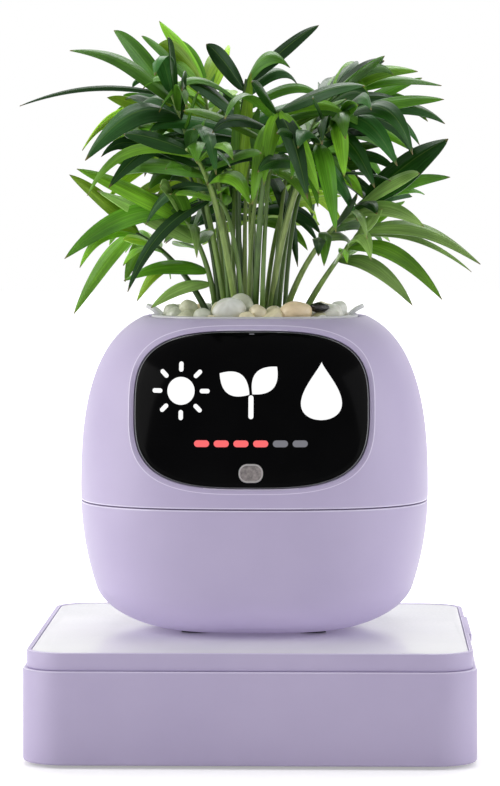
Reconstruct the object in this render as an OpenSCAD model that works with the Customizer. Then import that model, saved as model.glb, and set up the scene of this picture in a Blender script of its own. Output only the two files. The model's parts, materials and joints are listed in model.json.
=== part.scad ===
// Smart plant pot on its matching base, with a lift-out liner, pebbles and a palm.
// Millimetres, +Z up, origin at the middle of the base's underside, front towards -Y.

/* [Pot shell] */
// Width of the pot at its widest, the same from front to back
pot_w = 128; // [122:1:136]
// Height of the pot from its feet to its rim
pot_h = 115; // [113:1:122]
// Outer width at the rim
rim_w = 82; // [81:0.5:84]
// Outer width at the bottom
foot_w = 103; // [101:1:108]
// Height of the bottom edge's rounding
foot_round = 16; // [14:0.5:17]
// How far the rounding draws in the bottom edge
foot_tuck = 26; // [23:0.5:27]
// Height of the widest point above the feet
wide_z = 51; // [49:0.5:53]
// Height of the seam between the two shells
seam_z = 48; // [47:0.2:49]
// Roundness of the shoulder, larger is squarer
shoulder_power = 4.4; // [4:0.1:4.6]
// How late the shoulder starts to bend
shoulder_rise = 2.5; // [2.3:0.1:2.7]
// Corner power of the plan, 2 is a circle and more is squarer
plan_power = 2.8; // [2.7:0.05:2.9]
// Wall of both shells
shell_wall = 3; // [2.6:0.1:3.2]
// Height of the solid collar round the opening
collar_h = 3.2; // [3:0.1:3.4]
// Width of the rim's flat edge round the opening
rim_lip = 2.6; // [2.3:0.1:2.9]
// Gap between the two shells at the seam
seam_gap = 0.4; // [0.3:0.1:0.6]
// Depth of the groove that shows at the seam
seam_groove = 0.6; // [0.4:0.1:0.9]

/* [Screen] */
// Width of the screen lens
screen_w = 84; // [80:0.5:86]
// Height of the screen lens
screen_h = 55.2; // [52:0.2:55.6]
// Height of the lens centre above the feet
screen_z = 83.2; // [82:0.2:83.4]
// Corner power of the lens outline
screen_power = 3.2; // [2.8:0.1:3.4]
// Depth of the lens face below the shell's face
lens_inset = 0.4; // [0.2:0.1:0.6]
// Thickness of the lens
lens_t = 1.2; // [1:0.1:1.4]
// Thickness of the foam gasket behind the lens
lens_gasket_t = 0.4; // [0.3:0.1:0.5]
// Width of the ledge that the lens is glued to
lens_ledge = 3; // [2.4:0.1:3.6]
// Gap round the lens
lens_gap = 0.3; // [0.2:0.05:0.4]
// Width of the light sensor window
window_w = 8.8; // [7.5:0.1:9.4]
// Height of the light sensor window
window_h = 6.8; // [6:0.1:7]
// Height of the window's centre above the lens's lower edge
window_up = 5.4; // [5:0.1:6.2]
// Depth of the window plug
window_t = 3.4; // [3:0.1:3.8]
// Width of the display panel
display_w = 60; // [54:0.5:61]
// Height of the display panel
display_h = 43; // [38:0.5:43.5]
// Thickness of the display panel
display_t = 3.2; // [2.6:0.1:3.4]
// Backward tilt of the display panel
display_tilt = 12; // [10:0.5:13]

/* [Well and liner] */
// Gap between the liner's collar and the pot's opening
liner_gap = 0.3; // [0.25:0.05:0.5]
// How far the liner's collar sits on the well
liner_seat = 1.6; // [1.3:0.1:1.8]
// Gap between the liner's body and the well
liner_slack = 0.5; // [0.4:0.05:0.8]
// Wall of the liner
liner_wall = 1.5; // [1.2:0.1:1.8]
// Height of the liner's floor above the well's floor
liner_sump = 4.2; // [3:0.2:6]
// How far the liner's collar stands over the rim
liner_proud = 0.6; // [0.3:0.1:1]
// Radius of a drain hole in the liner
drain_r = 2.4; // [1.5:0.1:3]
// Reach of a lifting ear beyond the liner's collar
ear_reach = 2.6; // [2:0.2:4]
// Rise of a lifting ear
ear_rise = 2.6; // [2.2:0.2:3.4]
// Length of a lifting ear along the rim
ear_len = 22; // [16:1:28]
// Thickness of a lifting ear
ear_t = 1.5; // [1.2:0.1:1.8]
// Wall of the well
well_wall = 1.8; // [1.4:0.1:2]
// Height of the well's underside above the feet
well_z = 36; // [34:0.5:39]
// Gap between the well's flange and the upper shell
flange_gap = 0.2; // [0.15:0.05:0.4]
// Thickness of the well's flange
flange_t = 1.8; // [1.5:0.1:2.2]
// Thickness of the gasket on the well's flange
well_gasket_t = 1; // [0.8:0.1:1.2]
// Width of the moisture strip on the well
strip_w = 8; // [6:0.5:10]
// Distance of the moisture strip from the well's underside
strip_margin = 8; // [6:0.5:10]
// Depth of the soil's surface below the rim
soil_drop = 3; // [2.5:0.1:4]
// Gap round the soil
soil_gap = 0.3; // [0.2:0.05:0.4]

/* [Inside the lower shell] */
// Thickness of the floor of the lower shell
floor_t = 2.6; // [2.2:0.1:3]
// Height of the rubber feet
foot_t = 0.8; // [0.6:0.1:1.2]
// Radius of a rubber foot
foot_r = 4.6; // [4:0.1:5]
// Gap between a case post and the well
post_gap = 0.2; // [0.15:0.05:0.3]
// Radius of a case post
post_r = 4; // [3.6:0.1:4.2]
// Height of a case post above the seam
post_h = 30; // [20:1:34]
// Radius of the case screws' shanks
case_screw_r = 1.25; // [1:0.05:1.4]
// Length of the main board
board_w = 56; // [54:1:57]
// Depth of the main board
board_d = 40; // [34:1:40]
// Thickness of every circuit board
board_t = 1.6; // [1.2:0.1:2]
// Height of the board standoffs
standoff_h = 6; // [5:0.5:8]
// Radius of the board screws' shanks
board_screw_r = 1; // [0.8:0.05:1.1]
// Radius of the battery cell
cell_r = 9.2; // [7:0.1:9.3]
// Length of the battery cell
cell_len = 50; // [46:0.5:50.5]
// Wall of the battery holder
holder_wall = 1.6; // [1.2:0.1:1.6]
// Depth of the battery's axis behind the pot's axis
cell_y = 22; // [21.6:0.1:22.2]

/* [Rear ports] */
// Height of the ports above the feet
port_z = 33.5; // [33:0.25:34.5]
// Width of the port panel
port_w = 36; // [34:0.5:38]
// Height of the port panel
port_h = 12; // [11:0.25:13]
// How far the panel's face is set in from the pot's widest point
port_inset = 3.4; // [3:0.1:3.8]
// Thickness of the panel where it fills the window
port_t = 2.3; // [2:0.1:2.6]
// Thickness of the panel's flange inside the shell
port_flange_t = 1.8; // [1.5:0.1:2]
// Width of the panel's flange
port_flange = 3; // [2:0.1:3.2]
// Depth of the charging board
port_board_d = 16.5; // [16:0.25:17.5]
// Sideways place of the charging socket
socket_x = -8; // [-9:0.25:-7]
// Width of the charging socket's shell
socket_w = 8.94; // [8.9:0.01:9]
// Height of the charging socket's shell
socket_h = 3.26; // [3.2:0.01:3.3]
// Depth of the charging socket's shell
socket_d = 7.3; // [7:0.1:7.6]
// Sideways place of the power button
button_x = 9; // [8.5:0.25:10]
// Radius of the power button
button_r = 3.2; // [2.8:0.1:3.4]
// Radial gap between the power button and its bore
button_gap = 0.1; // [0.06:0.01:0.15]
// How far the power button stands proud of the panel
button_proud = 0.7; // [0.65:0.05:0.9]
// Travel of the power button
button_travel = 0.6; // [0.4:0.05:0.6]

/* [Base] */
// Width of the base
base_w = 160; // [150:1:175]
// Depth of the base
base_d = 170; // [160:1:180]
// Height of the base shell
base_h = 33; // [28:0.5:40]
// Plan radius of the base's corners
base_corner = 16; // [12:0.5:20]
// Wall of the base shell
base_wall = 2.6; // [2:0.1:3.2]
// Height of the tray on the base
tray_h = 6.4; // [5.5:0.1:8]
// How far the tray is set in from the base shell
tray_inset = 1.4; // [1:0.1:2]
// Width of the rim round the white panel
tray_rim = 1.6; // [1.4:0.1:2.2]
// Thickness of the white panel
panel_t = 2.8; // [2:0.1:3.2]
// Depth of the white panel's face below the tray's rim
panel_drop = 0.2; // [0.1:0.05:0.4]
// Gap round pieces that drop into another
fit_gap = 0.2; // [0.15:0.05:0.3]
// Length of the tab in the tray's right rim
tab_len = 56; // [40:1:70]
// Place of the tab's middle behind the base's centre
tab_y = 8; // [0:1:16]
// How far the tab stands out from the tray
tab_proud = 0.5; // [0.3:0.1:0.8]
// Thickness of the anti-slip pad under the base
pad_t = 1; // [0.8:0.1:1.5]
// Thickness of the base's floor plate
base_floor_t = 2.4; // [2:0.1:3]
// Radius of the bosses inside the base
boss_r = 4; // [3.6:0.1:5]
// Radius of the base screws' shanks
base_screw_r = 1.4; // [1.2:0.05:1.6]
// How far the pot stands behind the base's centre
pot_y = 8; // [0:0.5:8]

/* [Plant] */
// Height of the plant above the soil
plant_h = 112; // [100:1:120]
// Thickness of a leaflet at its midrib
leaf_t = 0.8; // [0.7:0.1:1]
// How far the leaflets' faces turn outwards, where 0 faces straight up
leaf_turn = 1.6; // [1:0.1:2]
// Radius of a stalk at the soil
stalk_r = 1.3; // [1.1:0.1:1.5]
// Smallest radius of a stalk, at its tip
stalk_tip_r = 0.6; // [0.5:0.1:0.7]

/* [Hidden] */
$fn = 64;
plan_sides = 48;
lens_sides = 40;
pi_turn = 360;

// Pot profile: the half width at each height, an ellipse below and a squarer curve above the widest point.
pot_hw = pot_w / 2;
lower_drop = wide_z / sqrt(1 - pow(foot_w / pot_w, 2));
upper_rise = (pot_h - wide_z) / pow(1 - pow(rim_w / pot_w, shoulder_power), 1 / shoulder_rise);
function foot_trim(z) = z < foot_round ? foot_tuck * (1 - sqrt(1 - pow(1 - z / foot_round, 2))) : 0;
function half_width(z) = z < wide_z
  ? pot_hw * sqrt(1 - pow((wide_z - z) / lower_drop, 2)) - foot_trim(z)
  : pot_hw * pow(1 - pow((z - wide_z) / upper_rise, shoulder_rise), 1 / shoulder_power);

// Heights and half widths that the pieces share, measured from the pot's feet and axis.
base_top = pad_t + base_h + tray_h - panel_drop;
pot_place = [0, pot_y, base_top];
floor_top = foot_t + floor_t;
collar_z = pot_h - collar_h;
opening_hw = rim_w / 2 - rim_lip;
well_top = collar_z - well_gasket_t;
liner_collar_hw = opening_hw - liner_gap;
well_in_hw = liner_collar_hw - liner_seat;
well_hw = well_in_hw + well_wall;
flange_hw = half_width(collar_z) - shell_wall - flange_gap;
liner_hw = well_in_hw - liner_slack;
liner_in_hw = liner_hw - liner_wall;
liner_z = well_z + well_wall + liner_sump;
liner_top = pot_h + liner_proud;
soil_z = pot_h - soil_drop;
soil_hw = liner_in_hw - soil_gap;
diagonal = pow(2, -1 / plan_power);
well_clear = well_hw * diagonal + (post_r + post_gap) / sqrt(2);
holder_clear = cell_len / 2 + fit_gap + holder_wall + post_r + post_gap;
post_at = max(well_clear, holder_clear);
post_reach = post_at * sqrt(2);
foot_at = (half_width(foot_t) - foot_r - 1.5) * diagonal;
post_mouth = 9.4;
post_top = seam_z + post_h;
screw_bite = 10;
well_screw_at = (opening_hw + flange_hw) / 2 * diagonal;
well_screw_r = (flange_hw - well_hw) / 5;
thread_gap = 0.05;
rib_t = 2;
glue_gap = 0.08;
lens_seat = lens_inset + lens_t + lens_gasket_t;

// Electronics, measured from the pot's feet and axis.
holder_front = cell_y - cell_r - fit_gap - holder_wall;
board_y = holder_front - fit_gap - board_d / 2;
board_z = floor_top + standoff_h;
standoff_in = 4;
board_screw_head = 1.9;
port_face = pot_hw - port_inset;
port_back = port_face - port_t - port_flange_t;
port_board_z = port_z - socket_h / 2 - board_t;
port_board_w = 32;
port_board_front = port_back - port_board_d;
port_board_gap = 0.4;
button_flange_t = 1.2;
button_rest_gap = 0.1;
button_end = port_back - button_rest_gap - button_flange_t - 2.4;
switch_face = button_end - button_travel - 0.1;
switch_d = 4;
display_rise = display_h / 2 * cos(display_tilt);
display_lean = display_h / 2 * sin(display_tilt);
display_depth = display_t / cos(display_tilt);
shell_corner = -front_y(display_w / 2, screen_z + display_rise, shell_wall);
display_y = (shell_corner + well_hw + display_depth) / 2 + display_lean;
display_place = [0, -display_y, screen_z];
ledge_share = 1 - lens_ledge / (screen_h / 2);
gasket_share = 1 - 0.9 * lens_ledge / (screen_h / 2);
lens_shares = [0.12, 0.45, 0.72, gasket_share, 1];
cradle_back = well_hw + 0.1;

lavender = [0.71, 0.66, 0.79];
lavender_dark = [0.60, 0.56, 0.68];
white = [0.95, 0.95, 0.95];
black = [0.06, 0.06, 0.07];
steel = [0.72, 0.72, 0.74];
board_green = [0.10, 0.35, 0.22];
copper = [0.78, 0.48, 0.25];
soil_brown = [0.24, 0.17, 0.12];
pebble_cream = [0.84, 0.82, 0.74];
leaf_green = [0.36, 0.54, 0.24];

// The plant and the stones were chosen by hand for these two sizes, and scale with them.
plant_unit = plant_h / 112;
stone_unit = soil_hw / 34.2;

// Hand-chosen fronds: stalk foot [x, y], bend [x, y, z], tip [x, y, z] above the soil,
// then leaflet length, leaflet width, number of leaflet pairs and the share of the stalk that is bare.
FRONDS = [
  [[-10, -4], [-17, -9, 52], [-31, -14, 86], 42, 10, 4, 0.64],
  [[-11, 3], [-14, 6, 62], [-20, 9, 90], 38, 9, 4, 0.66],
  [[-5, -1], [-8, -3, 64], [-3, -6, 90], 38, 9, 5, 0.60],
  [[8, 4], [13, 7, 68], [29, 10, 86], 40, 9, 5, 0.60],
  [[5, -5], [14, -16, 70], [36, -24, 77], 40, 9, 5, 0.55],
  [[0, -7], [3, -22, 74], [10, -33, 78], 38, 9, 5, 0.56],
  [[16, 0], [26, -2, 20], [40, -4, 35], 28, 8, 2, 0.60],
  [[10, -1], [19, -5, 32], [42, -9, 46], 34, 9, 3, 0.55],
  [[-16, 4], [-28, 7, 26], [-46, 9, 34], 28, 8, 2, 0.60],
  [[-14, -1], [-16, -3, 26], [-28, -6, 42], 32, 9, 2, 0.60],
  [[-6, 9], [-14, 22, 64], [-30, 32, 76], 40, 9, 5, 0.56],
  [[6, 10], [15, 25, 66], [30, 35, 78], 40, 9, 5, 0.56],
  [[0, 13], [-2, 30, 52], [-2, 46, 54], 38, 9, 5, 0.50],
  [[-6, -9], [-14, -22, 60], [-24, -33, 64], 38, 9, 5, 0.56],
];

// Hand-chosen long leaflets: the frond's number, the share of its stalk where the leaflet starts,
// its tip [x, y, z] above the soil, its width and how far it arches over the straight line.
LONG_LEAFLETS = [
  [1, 0.96, [-86, -12, 80], 6, 10],
  [1, 0.92, [-67, -20, 100], 9, 12],
  [1, 0.86, [-61, -27, 60], 14, 18],
  [1, 0.74, [-53, -20, 50], 9, 12],
  [2, 0.96, [-36, 13, 112], 8, 4],
  [2, 0.90, [-28, 18, 105], 8, 5],
  [3, 0.66, [-48, -8, 62], 8, 8],
  [3, 0.56, [-37, -14, 56], 6, 4],
  [3, 0.97, [13, -12, 94], 9, 14],
  [4, 0.96, [69, 13, 88], 8, 8],
  [4, 0.90, [60, 4, 93], 10, 10],
  [4, 0.80, [56, 22, 82], 8, 8],
  [5, 0.96, [69, -27, 82], 7, 4],
  [5, 0.88, [52, -42, 58], 10, 14],
  [5, 0.76, [44, -40, 50], 9, 12],
  [5, 0.68, [30, -36, 34], 9, 14],
  [5, 0.60, [38, -26, 38], 8, 12],
  [6, 0.92, [20, -50, 46], 9, 12],
  [6, 0.80, [0, -46, 44], 8, 12],
  [7, 0.97, [83, -6, 22], 9, 14],
  [7, 0.90, [80, 3, 19], 6, 12],
  [7, 0.78, [69, -10, 9], 8, 15],
  [7, 0.64, [58, -14, 7], 8, 12],
  [8, 0.97, [71, -10, 68], 16, 4],
  [8, 0.90, [72, 0, 54], 7, 6],
  [8, 0.80, [62, -24, 36], 8, 10],
  [9, 0.97, [-68, 13, 3], 8, 8],
  [9, 0.84, [-49, 14, 15], 7, 6],
  [9, 0.92, [-69, 4, 55], 7, 3],
  [10, 0.97, [-70, -8, 24], 10, 13],
  [10, 0.84, [-65, -14, 57], 9, 4],
  [10, 0.66, [-58, -4, 49], 11, 3],
  [10, 0.40, [-48, -10, 16], 9, 8],
];

// Hand-chosen front stones: place [x, y] and size [length, depth, height], then the turn in plan.
FRONT_STONES = [
  [[-28, -17], [9, 9, 8], 40],
  [[-24, -23], [8, 7.4, 6.6], 10],
  [[-18.5, -25.5], [7, 7.6, 8], -10],
  [[-15, -29], [4.4, 4, 5], 0],
  [[-8.8, -25], [12.4, 10, 12.6], 8],
  [[-4.6, -19.5], [10.5, 8, 14.4], -20],
  [[-2.4, -29], [6.4, 5.4, 6.4], 10],
  [[1.6, -25.5], [7, 7, 9.6], -14],
  [[6.6, -27.5], [9.4, 7, 8.4], 24],
  [[15.2, -24.5], [12.6, 10.5, 11], 6],
  [[24, -22], [7, 6.6, 6], 20],
  [[29, -15.6], [10, 8.4, 9.6], 76],
  [[25.2, -26], [5.6, 4.6, 5], 40],
];
DARK_SEAT = 10;

// Rows of the other stones: half width of the row, first angle, last angle and count.
STONE_ROWS = [
  [28, -12, 192, 14],
  [19.5, -20, 200, 10],
  [12, -60, 180, 6],
];

// Shared shapes

function signed_power(v, e) = sign(v) * pow(abs(v), e);

// A rounded-square loop of the given half width, counter-clockwise, with a flat on each axis.
function squircle(hw) = [
  for (i = [0 : plan_sides - 1])
    let (t = pi_turn * (i + 0.5) / plan_sides)
      [hw * signed_power(cos(t), 2 / plan_power), hw * signed_power(sin(t), 2 / plan_power)]
];
function loop_at(hw, z) = [for (p = squircle(hw)) [p[0], p[1], z]];

// A solid through a list of equal loops, closed on itself or capped at both ends.
module loft(loops, capped) {
  sides = len(loops[0]);
  count = len(loops);
  walls = [
    for (k = [0 : count - (capped ? 2 : 1)], i = [0 : sides - 1])
      let (j = (i + 1) % sides, low = k * sides, high = (k + 1) % count * sides)
        each [[low + i, high + i, high + j], [low + i, high + j, low + j]]
  ];
  last = (count - 1) * sides;
  caps = [
    for (i = [1 : sides - 2])
      each [[0, i, i + 1], [last, last + i + 1, last + i]]
  ];
  polyhedron([for (l = loops) each l], capped ? concat(walls, caps) : walls);
}

// A rounded-square plate or ring between two heights.
module squircle_plate(hw, z0, z1) {
  translate([0, 0, z0]) linear_extrude(z1 - z0) polygon(squircle(hw));
}
module squircle_ring(hw, inner_hw, z0, z1) {
  translate([0, 0, z0]) linear_extrude(z1 - z0) difference() {
    polygon(squircle(hw));
    polygon(squircle(inner_hw));
  }
}

module rounded_rect(w, d, r) {
  square([w - 2 * r, d], center = true);
  square([w, d - 2 * r], center = true);
  for (x = [-1, 1], y = [-1, 1])
    translate([x * (w / 2 - r), y * (d / 2 - r)]) circle(r);
}
module rounded_plate(w, d, r, z0, z1) {
  translate([0, 0, z0]) linear_extrude(z1 - z0) rounded_rect(w, d, r);
}

// A rounded block that lies along +Y, from its near face to its far face.
module rounded_bar(w, h, r, y0, y1) {
  translate([0, y1, 0]) rotate([90, 0, 0]) linear_extrude(y1 - y0) rounded_rect(w, h, r);
}

// A peg along +Z, and one along +Y.
module peg(r, z0, z1) {
  translate([0, 0, z0]) cylinder(r = r, h = z1 - z0);
}
module rod(r, y0, y1) {
  translate([0, y0, 0]) rotate([-90, 0, 0]) cylinder(r = r, h = y1 - y0);
}

module at_corners(x, y) {
  for (i = [-1, 1], j = [-1, 1])
    translate([i * x, j * y, 0]) children();
}

// The front face of the pot at a place, set in by a depth.
function front_y(x, z, inset) =
  -pow(pow(half_width(z) - inset, plan_power) - pow(abs(x), plan_power), 1 / plan_power);

// A loop on the front face: an outline of the screen's kind, set in by a depth.
function front_loop(hw, hh, mid_z, inset) = [
  for (i = [0 : lens_sides - 1])
    let (
      t = pi_turn * (i + 0.5) / lens_sides,
      x = hw * signed_power(cos(t), 2 / screen_power),
      z = mid_z + hh * signed_power(sin(t), 2 / screen_power)
    ) [x, front_y(x, z, inset), z]
];

// A curved plate that follows the front face between two depths.
module front_plate(hw, hh, mid_z, near, far, shares) {
  back = [for (s = shares) front_loop(hw * s, hh * s, mid_z, far)];
  front = [for (i = [len(shares) - 1 : -1 : 0]) front_loop(hw * shares[i], hh * shares[i], mid_z, near)];
  loft(concat(back, front), true);
}

// Base

module base_shell() {
  top = pad_t + base_h;
  boss_x = base_w / 2 - base_corner;
  boss_y = base_d / 2 - base_corner;
  color(lavender) difference() {
    union() {
      difference() {
        rounded_plate(base_w, base_d, base_corner, pad_t, top);
        rounded_plate(
          base_w - 2 * base_wall, base_d - 2 * base_wall, base_corner - base_wall,
          pad_t - 1, top - base_wall
        );
      }
      at_corners(boss_x, boss_y) peg(boss_r, pad_t + base_floor_t, top - base_wall / 2);
    }
    at_corners(boss_x, boss_y) peg(base_screw_r + thread_gap, pad_t, pad_t + base_floor_t + 14);
    at_corners(boss_x - 3 * boss_r, boss_y) peg(base_screw_r + thread_gap, top - base_wall - 1, top + 1);
  }
}

module base_floor() {
  w = base_w - 2 * base_wall - 2 * fit_gap;
  d = base_d - 2 * base_wall - 2 * fit_gap;
  color(lavender_dark) difference() {
    rounded_plate(w, d, base_corner - base_wall - fit_gap, pad_t, pad_t + base_floor_t);
    at_corners(base_w / 2 - base_corner, base_d / 2 - base_corner) {
      peg(base_screw_r + fit_gap, 0, pad_t + base_floor_t + 1);
      peg(2 * base_screw_r + fit_gap, 0, pad_t + base_floor_t / 2);
    }
  }
}

module base_tray() {
  z0 = pad_t + base_h;
  w = base_w - 2 * tray_inset;
  d = base_d - 2 * tray_inset;
  color(lavender) difference() {
    rounded_plate(w, d, base_corner - tray_inset, z0, z0 + tray_h);
    rounded_plate(
      w - 2 * tray_rim, d - 2 * tray_rim, base_corner - tray_inset - tray_rim,
      base_top - panel_t, z0 + tray_h + 1
    );
    translate([w / 2 - tray_rim - 1, tab_y - tab_len / 2, base_top - panel_t])
      cube([tray_rim + 2, tab_len, tray_h]);
    at_corners(base_w / 2 - base_corner - 3 * boss_r, base_d / 2 - base_corner)
      peg(base_screw_r + thread_gap, z0 - 1, z0 + (tray_h - panel_t) / 2);
  }
}

module base_top_panel() {
  w = base_w - 2 * tray_inset - 2 * tray_rim - 2 * fit_gap;
  d = base_d - 2 * tray_inset - 2 * tray_rim - 2 * fit_gap;
  r = base_corner - tray_inset - tray_rim - fit_gap;
  color(white) rounded_plate(w, d, r, base_top - panel_t, base_top);
}

module tray_tab() {
  outer = base_w / 2 - tray_inset;
  color(lavender)
    translate([outer - tray_rim, tab_y - tab_len / 2 + fit_gap, base_top - panel_t])
      cube([tray_rim + tab_proud, tab_len - 2 * fit_gap, panel_t + panel_drop]);
}

module base_foot_pad() {
  inset = base_corner / 2;
  color(black) rounded_plate(base_w - 2 * inset, base_d - 2 * inset, base_corner - inset / 2, 0, pad_t);
}

module base_screws() {
  color(steel) at_corners(base_w / 2 - base_corner, base_d / 2 - base_corner) {
    peg(base_screw_r, pad_t + fit_gap, pad_t + base_floor_t + 12);
    peg(2 * base_screw_r, pad_t + fit_gap, pad_t + base_floor_t / 2);
  }
}

module tray_screws() {
  under = pad_t + base_h - base_wall;
  color(steel) at_corners(base_w / 2 - base_corner - 3 * boss_r, base_d / 2 - base_corner) {
    peg(2 * base_screw_r, under - 1.6, under);
    peg(base_screw_r, under - 1.6, pad_t + base_h + (tray_h - panel_t) / 2 - 0.2);
  }
}

// Pot shells

module upper_shell() {
  bottom = seam_z + seam_gap / 2;
  rise = collar_z - bottom;
  outer_shares = [0, 0.14, 0.3, 0.46, 0.6, 0.72, 0.82, 0.9, 0.96, 1];
  inner_shares = [1, 0.9, 0.78, 0.62, 0.42, 0.2, 0];
  collar_shares = [0.4, 0.75, 1];
  outer = [for (s = outer_shares) loop_at(half_width(bottom + rise * s), bottom + rise * s)];
  collar = [for (s = collar_shares) loop_at(half_width(collar_z + collar_h * s), collar_z + collar_h * s)];
  opening = [loop_at(opening_hw, pot_h), loop_at(opening_hw, collar_z)];
  inner = [
    for (s = inner_shares) loop_at(half_width(bottom + rise * s) - shell_wall, bottom + rise * s)
  ];
  color(lavender) translate(pot_place) difference() {
    union() {
      difference() {
        loft(concat(outer, collar, opening, inner), false);
        front_plate(screen_w / 2 + lens_gap, screen_h / 2 + lens_gap, screen_z, -3, lens_seat, lens_shares);
        front_plate(
          screen_w / 2 * ledge_share, screen_h / 2 * ledge_share, screen_z, -4, shell_wall + 2, [0.3, 1]
        );
        window_bar(fit_gap / 2, -pot_hw - 1, -pot_hw + window_t + 2);
      }
      upper_posts(bottom);
    }
    at_corners(post_at, post_at) peg(case_screw_r + thread_gap, bottom - 1, bottom + screw_bite + 1);
    at_corners(well_screw_at, well_screw_at)
      peg(well_screw_r + thread_gap, collar_z - 1, collar_z + collar_h * 0.7);
  }
}

// Posts that take the case screws, each held to the wall by a rib that follows it.
module upper_posts(bottom) {
  for (turn = [45 : 90 : 315]) rotate([0, 0, turn]) {
    translate([post_reach, 0, 0]) peg(post_r - 0.5, bottom, post_top);
    translate([0, rib_t / 2, 0]) rotate([90, 0, 0]) linear_extrude(rib_t) polygon(concat(
      [[post_reach, post_top], [post_reach, bottom + 2]],
      [
        for (z = [bottom + 2, (bottom + post_top) / 2, post_top])
          [half_width(z) * diagonal * sqrt(2) - shell_wall * 0.6, z]
      ]
    ));
  }
}

module lower_shell() {
  top = seam_z - seam_gap / 2;
  outer_shares = [0, 0.015, 0.045, 0.09, 0.16, 0.24, 0.33, 0.5, 0.67, 0.84, 1];
  inner_shares = [1, 0.75, 0.5, 0.3, 0.17, 0.07, 0];
  outer = [
    for (s = outer_shares) let (z = foot_t + (top - foot_t) * s) loop_at(half_width(z), z)
  ];
  middle = [
    for (s = outer_shares)
      let (z = foot_t + (top - foot_t) * s) loop_at(half_width(z) - shell_wall / 3, z)
  ];
  inner = [
    for (s = inner_shares)
      let (z = floor_top + (top - floor_top) * s) loop_at(half_width(z) - shell_wall, z)
  ];
  color(lavender) translate(pot_place) difference() {
    union() {
      difference() {
        loft(concat(outer, inner), true);
        translate([0, 0, port_z]) rounded_bar(
          port_w + 2 * fit_gap, port_h + 2 * fit_gap, 3, port_face - port_t - 1, pot_hw + 1
        );
        translate([0, 0, port_z]) rounded_bar(
          port_w + 2 * port_flange + 2 * fit_gap, port_h + 2 * port_flange + 2 * fit_gap, 3,
          port_back - 8, port_face - port_t
        );
      }
      intersection() {
        loft(middle, true);
        union() {
          at_corners(post_at, post_at) peg(post_r, floor_top - 1, top);
          for (x = [-1, 1])
            translate([x * (port_board_w / 2 - standoff_in), port_board_front + standoff_in, 0])
              peg(3, floor_top - 1, port_board_z);
        }
      }
      for (x = [-1, 1], y = [-1, 1])
        translate([x * (board_w / 2 - standoff_in), board_y + y * (board_d / 2 - standoff_in), 0])
          peg(3, floor_top - 1, board_z);
    }
    at_corners(post_at, post_at) {
      peg(case_screw_r + fit_gap, 0, top + 1);
      peg(2 * case_screw_r + fit_gap, 0, top - post_mouth);
    }
    for (x = [-1, 1], y = [-1, 1])
      translate([x * (board_w / 2 - standoff_in), board_y + y * (board_d / 2 - standoff_in), 0])
        peg(board_screw_r + thread_gap, floor_top, board_z + 1);
    for (x = [-1, 1])
      translate([x * (port_board_w / 2 - standoff_in), port_board_front + standoff_in, 0])
        peg(board_screw_r + thread_gap, port_board_z - standoff_h, port_board_z + 1);
  }
}

module seam_gasket() {
  hw = half_width(seam_z);
  color(black) translate(pot_place)
    squircle_ring(hw - seam_groove, hw - shell_wall + 0.4, seam_z - seam_gap / 2, seam_z + seam_gap / 2);
}

module pot_feet() {
  color(black) translate(pot_place) at_corners(foot_at, foot_at) peg(foot_r, 0, foot_t);
}

module case_screws() {
  mouth = seam_z - seam_gap / 2 - post_mouth;
  color(steel) translate(pot_place) at_corners(post_at, post_at) {
    peg(2 * case_screw_r, mouth - 2, mouth);
    peg(case_screw_r, mouth - 2, seam_z + screw_bite);
  }
}

// Screen

module screen_lens() {
  color(black) translate(pot_place) difference() {
    front_plate(screen_w / 2, screen_h / 2, screen_z, lens_inset, lens_inset + lens_t, lens_shares);
    window_bar(fit_gap / 2, -pot_hw - 1, -pot_hw + window_t + 2);
  }
}

module screen_gasket() {
  near = lens_inset + lens_t + glue_gap;
  far = lens_inset + lens_t + lens_gasket_t - glue_gap;
  hw = screen_w / 2;
  hh = screen_h / 2;
  in_w = hw * gasket_share;
  in_h = hh * gasket_share;
  color(black) translate(pot_place) difference() {
    loft(
      [
        front_loop(hw, hh, screen_z, far), front_loop(hw, hh, screen_z, near),
        front_loop(in_w, in_h, screen_z, near), front_loop(in_w, in_h, screen_z, far),
      ],
      false
    );
    window_bar(fit_gap / 2, -pot_hw - 1, -pot_hw + window_t + 2);
  }
}

// A pill-shaped bar through the lower part of the lens.
module window_bar(grow, y0, y1) {
  translate([0, 0, screen_z - screen_h / 2 + window_up])
    rounded_bar(window_w + 2 * grow, window_h + 2 * grow, window_h / 2 + grow - 0.2, y0, y1);
}

module sensor_window() {
  face = front_y(0, screen_z - screen_h / 2 + window_up, lens_inset);
  color([0.45, 0.43, 0.44]) translate(pot_place) window_bar(-fit_gap / 2, face, face + window_t);
}

module light_sensor() {
  z = screen_z - screen_h / 2 + window_up;
  back = front_y(0, z, lens_inset) + window_t;
  color(board_green) translate(pot_place) {
    translate([-5, back + 0.6, z - 5]) cube([10, board_t, 10]);
    translate([-1.5, back + 0.1, z - 1.5]) cube([3, 0.6, 3]);
  }
}

// Pieces of the display share a tilted frame, with the panel's front face at y = 0.
module display_frame() {
  translate(pot_place) translate(display_place) rotate([-display_tilt, 0, 0]) children();
}

module display_panel() {
  color(black) display_frame() translate([-display_w / 2, 0, -display_h / 2])
    cube([display_w, display_t, display_h]);
}

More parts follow.
